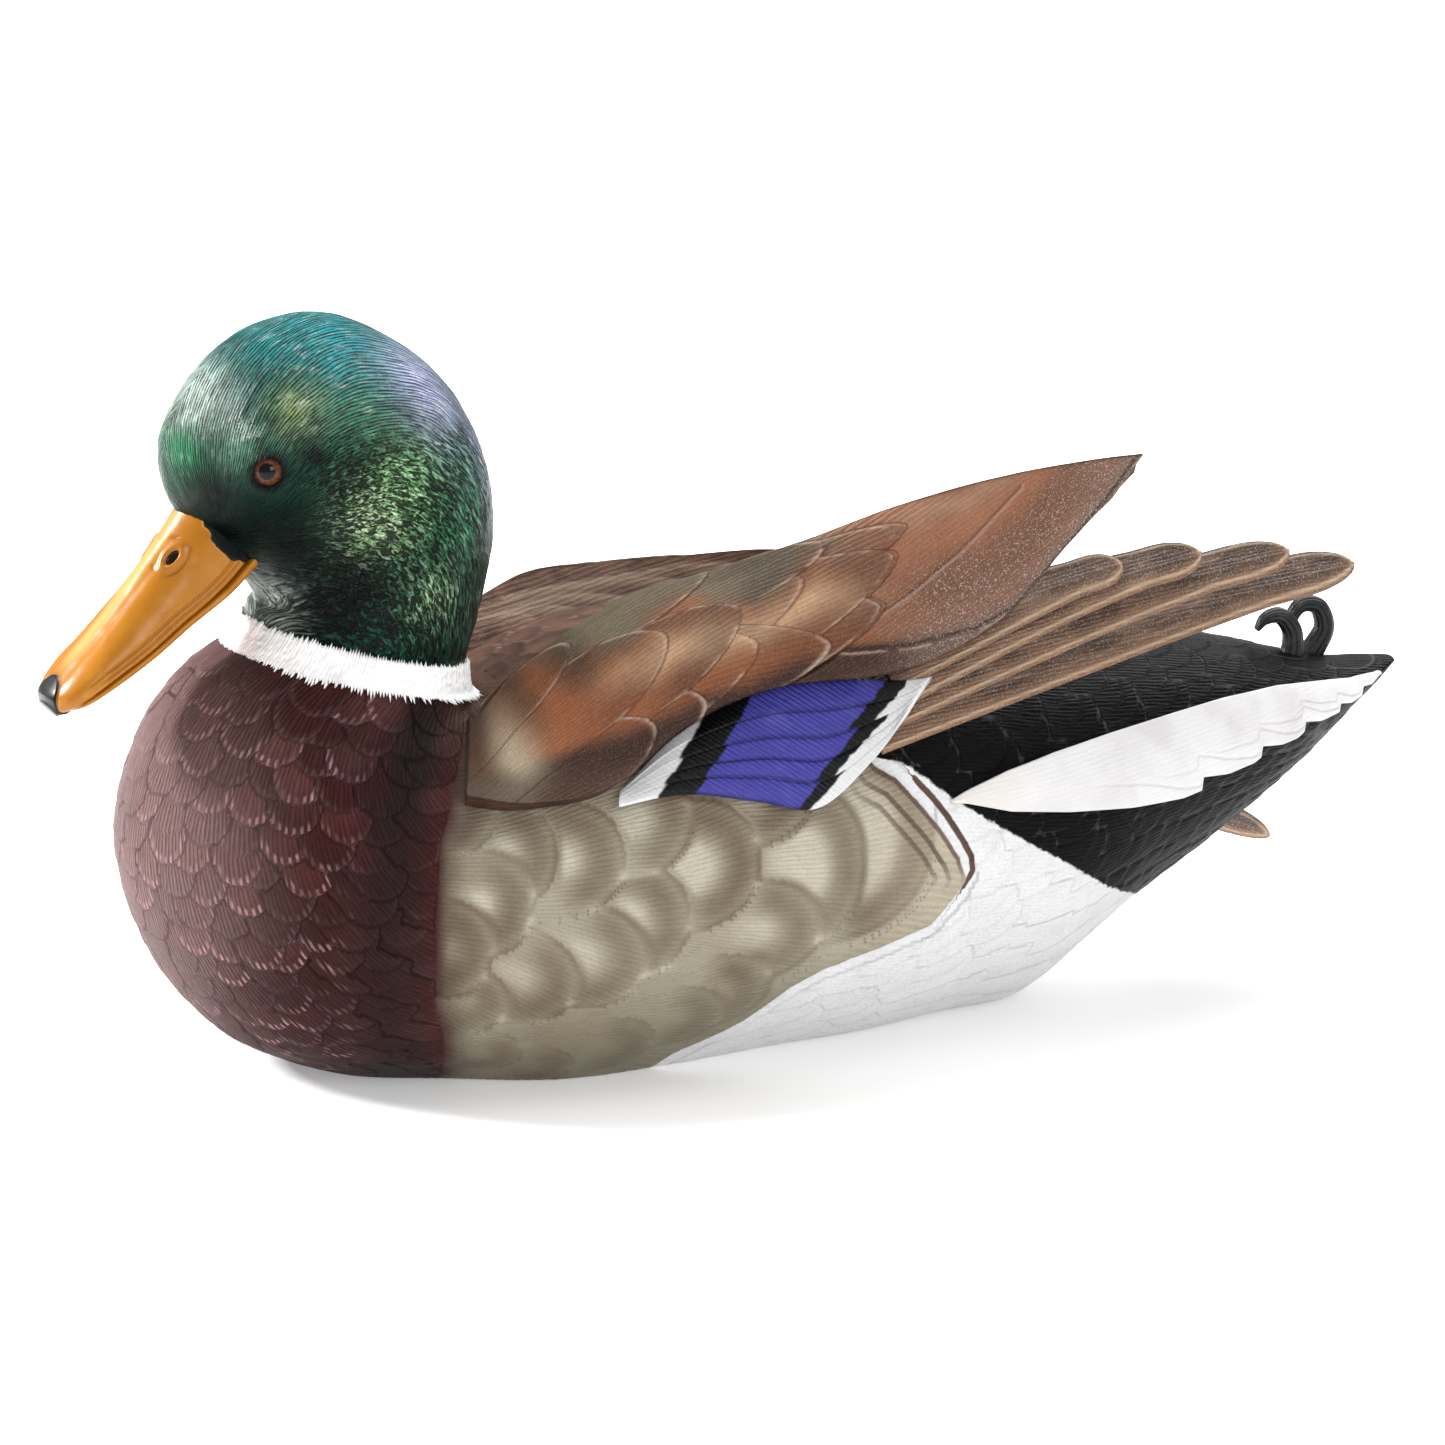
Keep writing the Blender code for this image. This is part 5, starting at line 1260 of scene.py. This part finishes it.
def make_head():
    stem = (circle_row(NECK_RADIUS, 2.1), circle_row(NECK_RADIUS, COLLAR_HEIGHT + 2.0))
    table = stem + HEAD_HOOPS
    places = even_places(table, 330)
    grid = hoop_grid(table, places, column_shares(320, 1.0, 1.0))
    normals = normals_of(grid)
    shape = grid.shape[:2]
    flat = grid.reshape(-1, 3) * (1, 1, 1)
    flat[:, 0] = np.abs(flat[:, 0])
    x, y, z = flat.T

    # barbs rise from the bill, lean back over the crown and the cheeks, and run down into the neck
    rel = np.column_stack([y - BARBS_FROM[0], z - BARBS_FROM[1]])
    run = np.hypot(rel[:, 0], rel[:, 1])
    bend = 1.3 * noise(flat, 16, 31) + 0.5 * noise(flat, 6, 33)
    barb = 38 * (np.arctan2(rel[:, 1], rel[:, 0]) + run**2 / 9000) - 0.9 * x + bend

    eye_off = np.linalg.norm(flat - EYE_CENTRE, axis=1)
    socket = -1.2 * hump(eye_off, 0, 4.8) + 0.8 * hump(eye_off, 6.0, 1.0)
    brow = 1.1 * hump(eye_off, 10.0, 3.2) * step(z, 178, 186)
    crinkle = np.clip(step(y, -128, -108) * step(z, 194, 176) + 0.4 * step(z, 160, 148), 0, 1)
    strand = fractal(np.column_stack([barb / 1.9, run / 9, 0 * run]), 1.0, 3)
    relief = 0.22 * strand * step(eye_off, 5, 8) * (1 - 0.4 * crinkle)
    relief += 0.34 * crinkle * fractal(flat, 3.0, 8)
    relief += 0.22 * fractal(flat, 8, 6) + socket + brow
    crease = hump(np.abs((z - 139) - 0.25 * (y + 118)), 0, 2.6) * hump(y, -117, 14) * step(x, 6, 14)
    relief -= 1.5 * crease
    fade = step(np.repeat(np.arange(shape[0]), shape[1]), 2, 22)
    shaped = grid + normals * (relief * fade).reshape(shape)[..., None]

    colour = np.broadcast_to(HEAD_GREEN, (len(flat), 3))
    patch = fractal(flat, 8, 21)
    shine = np.zeros(len(flat))
    # tints and painted highlights; shine sets how strongly the painted glints show
    for centre, reach, tone, strength in HEAD_TINTS_AND_HIGHLIGHTS:
        near = np.exp(-((np.linalg.norm(flat - centre, axis=1) / reach) ** 2))
        colour = mix(colour, srgb(*tone), np.clip(near * strength * (1 + patch * 0.7), 0, 1))
        shine = np.maximum(shine, near * strength * sum(tone) / 300)
    # near-black places; under the cheek they are painted shade
    for centre, reach, strength in HEAD_DARKS_AND_SHADE:
        near = np.exp(-((np.linalg.norm(flat - centre, axis=1) / reach) ** 2))
        colour = mix(colour, HEAD_DARK, np.clip(near * strength * (1 + patch * 0.5), 0, 1))
        shine *= 1 - 0.8 * near * strength
    colour = painted(
        colour,
        (HEAD_DARK, np.clip(fractal(flat, 5, 44), 0, 0.5) * step(z, 204, 190)),
        # painted shadow in the crease under the cheek
        (HEAD_DARK, 0.8 * crease),
        ((6, 6, 6), hump(eye_off, 5.0, 1.3) * 0.95))
    trim = channels(np.clip(shine, 0, 1), crinkle, 0.5 + 0.5 * step(eye_off, 6, 14))
    piece(
        "feathered_head", turned_head(shaped), "head_body", "green_head", head_material(), "head",
        paint=colour, trim=trim, barb=barb, run=run)


def head_material():
    """Iridescent green: painted shade between the barbs and painted coloured highlights on them, with painted
    glints along the hairs and on the crinkled cheek.
    """
    t = Tree("head_paint")
    paint = t.attribute("paint")
    trim = t.separate(t.attribute("trim"))
    barb, run = t.attribute("barb", "Fac"), t.attribute("run", "Fac")
    strand = strands(t, barb, run)
    fine = strands(t, barb, run, 2.4)
    sway = t.times(strand, 6.0)
    ridge = t.fused(fine, 0.9, t.fused(waves(t, barb, 1.15, sway), 0.40, -0.16))
    crinkle = t.texture(t.node("CombineXYZ", X=barb, Y=t.times(run, 0.42)), 1.05, 3.0, 0.6, 1.1)
    speck = t.noise(1300.0, 2.0, 0.6)
    cheek = t.times(t.ramp(crinkle, 0.40, 0.62), trim[1])
    plain = t.times(ridge, t.fused(trim[1], -0.75, 1.0))
    height = t.fused(cheek, 0.75, plain)
    shade = t.ramp(height, 0.20, 0.80, 0.12, 2.0)
    shade = t.times(shade, t.fused(speck, 1.1, 0.45))
    grey = t.node("CombineColor", i0=shade, i1=shade, i2=shade)
    colour = t.mixed(paint, grey, 1.0, "MULTIPLY")
    # Painted glints: pale flecks along the hairs and on the cheek's crinkles, as strong as the shine attribute
    # allows.
    hair = t.ramp(strands(t, barb, run, 1.7, 3.0), 0.54, 0.70)
    curl = t.ramp(crinkle, 0.56, 0.68)
    glint_share = t.plus(t.times(hair, t.minus(1.0, trim[1])), t.times(curl, trim[1]))
    glint_share = t.times(t.times(glint_share, trim[0]), t.ramp(speck, 0.35, 0.6, 0.35, 1.0))
    colour = t.mixed(colour, PAINTED_GLINT, t.times(glint_share, 0.88))
    height = t.fused(speck, 0.30, height)
    t.bump(t.times(height, trim[2]), 1.0, 0.0009)
    return t.finish(colour, Roughness=0.30, Specular_IOR_Level=0.15)


BILL, BILL_DEEP, BILL_PALE, NAIL = srgb(168, 107, 21), srgb(142, 82, 14), srgb(206, 154, 72), srgb(8, 8, 9)
NOSTRIL = np.array([8.0, -152.7, 152.7])


def bill_material(name):
    t = Tree(name)
    paint = t.attribute("paint")
    blotch = t.noise(140.0, 4.0, 0.6)
    streak = t.noise(260.0, 3.0, 0.6, stretch=(1.0, 0.35, 0.35))
    speck = t.ramp(t.noise(420.0, 2.0, 0.7), 0.70, 0.76)
    tone = t.mixed(paint, tuple(BILL_DEEP), t.times(t.ramp(blotch, 0.42, 0.72), 0.28))
    tone = t.mixed(tone, tuple(BILL_PALE), t.times(t.ramp(streak, 0.55, 0.8), 0.22))
    trim = t.separate(t.attribute("trim"))
    tone = t.mixed(tone, tuple(srgb(120, 70, 24)), t.times(speck, 0.25))
    tone = t.mixed(tone, tuple(NAIL), t.ramp(trim[0], 0.4, 0.6))
    downy = t.noise(900.0, 2.0, 0.6, stretch=(1.0, 0.3, 0.5))
    down = t.mixed(tuple(HEAD_DARK), tuple(HEAD_GREEN), t.ramp(downy, 0.5, 0.75, 0.0, 0.6))
    tone = t.mixed(tone, down, t.ramp(trim[1], 0.4, 0.6))
    height = t.fused(streak, 0.7, blotch)
    height = t.fused(t.times(downy, trim[1]), 4.0, height)
    t.bump(height, 0.22, 0.0004)
    return t.finish(tone, Roughness=t.ramp(trim[1], 0.4, 0.6, 0.30, 0.75), Specular_IOR_Level=0.30)


def make_bill():
    table = [row[:7] + (min(row[7] * 1.5, 4.6),) if row[7] > 2.5 else row for row in UPPER_BILL_HOOPS]
    rows = rows_at(table, even_places(table, 240))
    shares = column_shares(240, 0.9, 0.9)
    grid = np.array([resampled(hoop_points(row, 720), shares) for row in rows])
    normals = normals_of(grid)
    shape = grid.shape[:2]
    ends = rows[:, None, 2:4]
    axis = unit(rows[:, None, 0:2] - ends)
    above = ((grid[..., 1:] - ends) * axis).sum(2)
    run = lengths((rows[:, 0:2] + rows[:, 2:4]) / 2)
    to_tip = (run[-1] - run)[:, None] + 0 * above
    x = np.abs(grid[..., 0])
    along = (grid[..., 1] - NOSTRIL[1]) * 0.66 + (grid[..., 2] - NOSTRIL[2]) * 0.75
    over = -(grid[..., 1] - NOSTRIL[1]) * 0.75 + (grid[..., 2] - NOSTRIL[2]) * 0.66
    outside = step(x, 3.0, 5.0)
    slot = np.hypot(along / 2.5, over / 0.95)
    hole = step(slot, 1.15, 0.75) * outside
    rim = hump(slot, 1.55, 0.42) * outside
    folds = hump(np.hypot(along / 6.0, (over - 0.2) / 3.2), 1.0, 0.10) * step(np.abs(over), 0.8, 2.0) * outside
    deep = step(to_tip, 9, 16) * step(x, 2.0, 4.5)
    groove = (hump(above, 3.0, 0.45) + hump(above, 4.9, 0.5)) * deep
    culmen = hump(x, 4.6, 1.6) * step(to_tip, 66, 50) * step(above, 6, 10)
    claw = np.hypot(x / 6.4, to_tip / 9.6)
    nail = step(claw, 1.04, 0.98)
    lip = hump(claw, 1.04, 0.06)
    downy = border(grid[..., 1], grid[..., 2], [p[1:] for p in BILL_EDGE]) * -1
    beyond = np.clip(downy - 0.4, 0, 5)
    downy = step(downy + 0.5 * noise(grid.reshape(-1, 3), 1.6, 8).reshape(shape), -0.3, 0.5)
    points = grid.reshape(-1, 3)
    lump = fractal(points, 12, 3).reshape(shape)
    relief = -1.1 * hole + 0.55 * rim - 0.35 * folds - 0.55 * groove - 0.35 * culmen + 0.3 * lump
    relief += 0.55 * nail * step(to_tip, 0.3, 2.5) - 0.35 * lip + 0.5 * downy - 0.9 * beyond
    fade = step(np.arange(shape[0]), -1, 4)[:, None]
    shaped = grid + normals * (relief * fade)[..., None]
    tone = tones(grid, 16, 9)
    colour = painted(
        BILL,
        (BILL_DEEP, step(tone, 0.45, 0.85) * 0.4),
        # painted shade in the bill's grooves and nostril folds, a little on the nostril rim and beside the
        # culmen
        (BILL_DEEP, np.clip(groove * 0.8 + folds * 0.9 + rim * 0.15 + culmen * 0.25, 0, 1)),
        # painted highlight along the top of the culmen
        ((220, 176, 110), hump(x, 0.0, 3.2) * step(above, 8, 12) * 0.55),
        (BILL_DEEP, step(above, 2.6, 0.8) * 0.3))
    dark = np.clip(np.maximum(nail, hole), 0, 1)
    trim = channels(dark, downy, 0)
    piece(
        "glossy_bill", turned_head(shaped), "head_body", "orange_bill", bill_material("bill_paint"),
        "bill_upper", paint=colour, trim=trim)

    table = np.array(LOWER_BILL_HOOPS)
    table[:, 4] *= np.array([1.0, 1.12, 1.16, 1.17, 1.19, 1.22, 1.16, 1.1])
    table[:, 5], table[:, 6] = 0.2, 6.0
    table[1:, 0:4] += np.array([-0.95, 1.35, -0.95, 1.35])
    rows = rows_at(table, even_places(table, 120))
    grid = np.array([resampled(hoop_points(row, 360), np.arange(96) / 96) for row in rows])
    shape = grid.shape[:2]
    tone = tones(grid, 10, 4)
    colour = mix(BILL, BILL_DEEP, 0.25 * step(tone, 0.4, 0.8))
    piece(
        "lower_bill", turned_head(grid), "head_body", "orange_bill", bill_material("lower_bill_paint"),
        "bill_lower", paint=colour, trim=np.zeros(grid.shape))


EYE_OUTWARD = unit(np.array([0.87, -0.48, 0.10]))


def make_eye(side, sign):
    """A glass eye: a domed front with a dark pupil and an amber iris, under a clear coat."""
    outward = EYE_OUTWARD * (sign, 1, 1)
    centre = EYE_CENTRE * (sign, 1, 1)
    u = unit(np.cross(outward, [0, 0, 1.0]))
    w = np.cross(outward, u)
    polar = np.concatenate([np.linspace(0.02, np.pi / 2, 46), np.full(6, np.pi / 2)])
    depth = np.concatenate([np.zeros(46), np.linspace(0.4, 4.6, 6)])
    turn = 2 * np.pi * np.arange(72) / 72
    radius = EYE_RADIUS * np.sin(polar)[:, None]
    high = EYE_RADIUS * np.cos(polar)[:, None] - depth[:, None]
    grid = (centre + radius[..., None] * (u * np.cos(turn)[:, None] + w * np.sin(turn)[:, None])
            + high[..., None] * outward)
    spoke = noise(np.column_stack([np.cos(turn) * 9, np.sin(turn) * 9, turn * 0]), 1.0, 4)
    r = radius + 0.10 * spoke[None]
    iris = mix(srgb(66, 36, 22), srgb(102, 58, 34), (0.5 + 0.5 * spoke)[None] * np.ones_like(r))
    colour = mix(srgb(8, 7, 7), iris, step(r, 2.15, 2.45))
    colour = mix(colour, srgb(30, 16, 10), step(r, 3.7, 4.25))
    t = bpy.data.materials.get("glass_eye")
    if t is None:
        tree = Tree("glass_eye")
        streak = tree.noise(2600.0, 2.0)
        tone = tree.mixed(tree.attribute("paint"), (0.02, 0.01, 0.006), tree.ramp(streak, 0.45, 0.8, 0.0, 0.35))
        t = tree.finish(tone, Roughness=0.06, Specular_IOR_Level=0.22)
    piece(f"glass_eye_{side}", turned_head(grid), "head_body", "amber_eye", t, f"eye_{side}", paint=colour)


# ---------------------------------------------------------------- collar
def make_collar():
    """The white neck ring: a soft band whose ends break into small pointed feathers above and below."""
    columns, barbs = 1560, 260
    angle = 2 * np.pi * np.arange(columns) / columns
    share = np.arange(columns) / (columns / barbs)
    number, local = np.floor(share).astype(int), share % 1
    rng = np.random.default_rng(5)
    peak = 1 - np.abs(2 * local - 1)
    above = (0.2 + rng.random(barbs) * 1.5)[number] * peak
    below = (0.4 + rng.random(barbs) * 2.2)[number] * peak
    rows = 34
    place = np.linspace(0, 1, rows)[:, None]
    # from the ragged top edge down over the ring, and out onto the shoulders
    knee = 0.75
    out = np.clip((place - knee) / (1 - knee), 0, 1)
    top = COLLAR_HEIGHT - 1.3 + above[None]
    high = np.where(place < knee, top + (1.2 - top) * (place / knee), 1.2 - 0.7 * out)
    radius = 32.6 + 2.6 * np.clip(place / knee, 0, 1) ** 1.6
    radius = radius + 0.9 * step(place, 0, 0.1) * step(place, 1.3, 0.6)
    radius = radius + out * (1.6 + below[None]) * (1 - 0.35 * step(-np.cos(angle), 0.3, 1.0))[None]
    high = high - out * (0.6 + below[None]) * shoulder_slope(angle)[None]
    spots = np.column_stack([
        np.tile(angle * 30, rows), np.repeat(place[:, 0] * 9, columns), np.zeros(rows * columns)])
    radius = radius + 0.3 * noise(spots, 1.0, 6).reshape(rows, columns) * np.sin(np.pi * place)
    lean = angle + 0.05 * place
    grid = ring_points(radius, high, np.stack([np.sin(lean), np.cos(lean)], axis=-1))
    flat_way = np.stack([np.sin(angle), np.cos(angle)], -1)[None].repeat(2, 0)
    inner = ring_points(
        np.full((2, columns), 32.45), np.array([-0.2, COLLAR_HEIGHT - 2.2])[:, None] + 0 * angle[None],
        flat_way)
    grid = np.concatenate([grid, inner], axis=0)
    tone = 0.5 + 0.5 * noise(grid.reshape(-1, 3), 5.0, 3).reshape(grid.shape[:2])
    colour = mix(srgb(250, 250, 250), srgb(234, 233, 232), step(tone, 0.4, 0.9))
    trim = channels(1.4 + 0 * tone, 0, 0.5)
    barb = np.tile(angle * 36, (grid.shape[0], 1))
    material = feather_material(
        "collar_paint", period=1.2, lines=0.07, grain=0.04, strength=0.5, Roughness=0.55,
        Specular_IOR_Level=0.25)
    piece(
        "white_collar", grid, "hull", "white_paint", material, "neck_collar", ring=True, paint=colour,
        trim=trim, barb=barb)


def shoulder_slope(angle):
    """How steeply the shoulders fall away from the neck seat, by direction: 0 is the back, pi the breast."""
    back = np.cos(angle)
    return 0.9 + 0.2 * np.abs(np.sin(angle)) - 0.8 * np.clip(back, 0, 1) + 0.5 * np.clip(-back, 0, 1) ** 2


def ring_points(radius, high, direction):
    c, s = math.cos(NECK_TILT), math.sin(NECK_TILT)
    x = radius * direction[..., 0]
    flat_y = radius * direction[..., 1]
    y = NECK_SEAT[1] + flat_y * c + high * s
    z = NECK_SEAT[2] - flat_y * s + high * c
    return np.stack([x, y, z], axis=-1)


# ---------------------------------------------------------------- hardware, floor, light and camera
def dress_hardware():
    """The CAD nodes that stay keep their shape and get worn metal, rubber and board finishes."""
    finishes = {
        "base_board": plain_material(
            "sealed_base", (0.035, 0.030, 0.028), (0.060, 0.052, 0.046), 60.0, 0.35, Roughness=0.62),
        "black_rubber": plain_material(
            "gasket_rubber", (0.020, 0.020, 0.021), (0.034, 0.033, 0.033), 300.0, 0.3, Roughness=0.82),
        "ballast_iron": plain_material(
            "cast_ballast", (0.10, 0.10, 0.105), (0.055, 0.05, 0.048), 110.0, 0.6, Roughness=0.6, Metallic=0.8),
        "bright_steel": plain_material(
            "stainless", (0.60, 0.60, 0.61), (0.48, 0.48, 0.49), 400.0, 0.12, Roughness=0.28, Metallic=1.0),
        "brass": plain_material(
            "turned_brass", (0.72, 0.52, 0.24), (0.50, 0.34, 0.15), 260.0, 0.15, Roughness=0.3, Metallic=1.0),
    }
    groups = {
        "base_board": ("base_plate",),
        "black_rubber": ("base_gasket", "plug_seal", "neck_friction_washer"),
        "ballast_iron": ("ballast_weight",),
        "brass": ("drain_plug", "head_insert"),
        "bright_steel": (
            "neck_bolt", "neck_washer", "neck_spring_washer", "line_clip", "line_ring", "ballast_screw_1",
            "ballast_screw_2", *(f"base_screw_{n}" for n in range(1, 7))),
    }
    for slot, names in groups.items():
        for name in names:
            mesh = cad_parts[name].data
            mesh.materials.clear()
            mesh.materials.append(finishes[slot])


def make_floor():
    """A white disc just under the decoy, in rings that grow outwards."""
    mesh = bpy.data.meshes.new("floor")
    corners, height, radii = 64, -0.0002, (0.5, 1.5, 4.0, 12.0)
    turn = np.linspace(0, 2 * np.pi, corners + 1)[:-1]
    verts = [(0.0, 0.0, height)]
    for radius in radii:
        verts += [(radius * math.cos(a), radius * math.sin(a), height) for a in turn]
    faces = [(0, 1 + k, 1 + (k + 1) % corners) for k in range(corners)]
    for first in range(1, 1 + corners * (len(radii) - 1), corners):
        for k in range(corners):
            a, b = first + k, first + (k + 1) % corners
            faces.append((a, a + corners, b + corners, b))
    mesh.from_pydata(verts, [], faces)
    t = Tree("studio_floor")
    mesh.materials.append(t.finish(
        (0.80, 0.80, 0.80), Roughness=0.9, Specular_IOR_Level=0.0, Emission_Color=(1.0, 1.0, 1.0, 1.0),
        Emission_Strength=0.28))
    floor = bpy.data.objects.new("floor", mesh)
    bpy.context.scene.collection.objects.link(floor)


def area_light(name, place, aim, size, power, spread=180):
    data = bpy.data.lights.new(name, "AREA")
    data.shape = "RECTANGLE"
    data.size, data.size_y = size
    data.energy = power
    data.spread = math.radians(spread)
    lamp = bpy.data.objects.new(name, data)
    lamp.location = place
    lamp.rotation_mode = "QUATERNION"
    lamp.rotation_quaternion = (Vector(aim) - Vector(place)).to_track_quat("-Z", "Y")
    bpy.context.scene.collection.objects.link(lamp)


CAMERA_AZIMUTH, CAMERA_ELEVATION = math.radians(70), math.radians(13)
CAMERA_AIM = (46.3, 0.0, 99.9)
CAMERA_DISTANCE = 1.6
CAMERA_LENS, CAMERA_SENSOR = 141.5, 36.0


def make_studio():
    scene = bpy.context.scene
    scene.view_settings.view_transform = "Standard"
    world = bpy.data.worlds.new("studio")
    world.use_nodes = True
    background = world.node_tree.nodes["Background"].inputs
    background["Color"].default_value = (1, 1, 1, 1)
    background["Strength"].default_value = 0.45
    scene.world = world
    aim = (0.02, 0.0, 0.09)
    area_light("top", (0.10, 0.1, 1.6), aim, (1.4, 1.6), 9)
    area_light("key", (-0.75, -1.45, 0.90), (0.0, -0.08, 0.1), (0.24, 0.30), 50)
    area_light("fill", (1.9, 0.4, 0.9), aim, (1.0, 0.9), 17)
    area_light("rim", (-0.9, 1.2, 1.0), aim, (0.9, 0.6), 7)
    area_light("backdrop", (-2.1, 0.75, 2.0), (-2.1, 0.76, 0.0), (3.6, 3.0), 110, spread=100)
    level = math.cos(CAMERA_ELEVATION)
    back = Vector((
        math.sin(CAMERA_AZIMUTH) * level, -math.cos(CAMERA_AZIMUTH) * level, math.sin(CAMERA_ELEVATION)))
    data = bpy.data.cameras.new("camera")
    data.sensor_width, data.lens = CAMERA_SENSOR, CAMERA_LENS
    data.clip_start, data.clip_end = 0.1, 50.0
    camera = bpy.data.objects.new("camera", data)
    camera.location = Vector(CAMERA_AIM) * MM + back * CAMERA_DISTANCE
    camera.rotation_mode = "QUATERNION"
    camera.rotation_quaternion = (-back).to_track_quat("-Z", "Y")
    scene.collection.objects.link(camera)
    scene.camera = camera


make_body()
for wing_side in ("left", "right"):
    make_wing(wing_side)
    make_secondaries(wing_side)
    for feather_number, primary in enumerate(PRIMARIES, 1):
        make_primary(wing_side, feather_number, primary)
    make_tail_feathers(wing_side)
for curl_name in CURLS:
    make_curl(curl_name)
make_head()
make_bill()
make_eye("left", 1)
make_eye("right", -1)
make_collar()
dress_hardware()
make_floor()
make_studio()
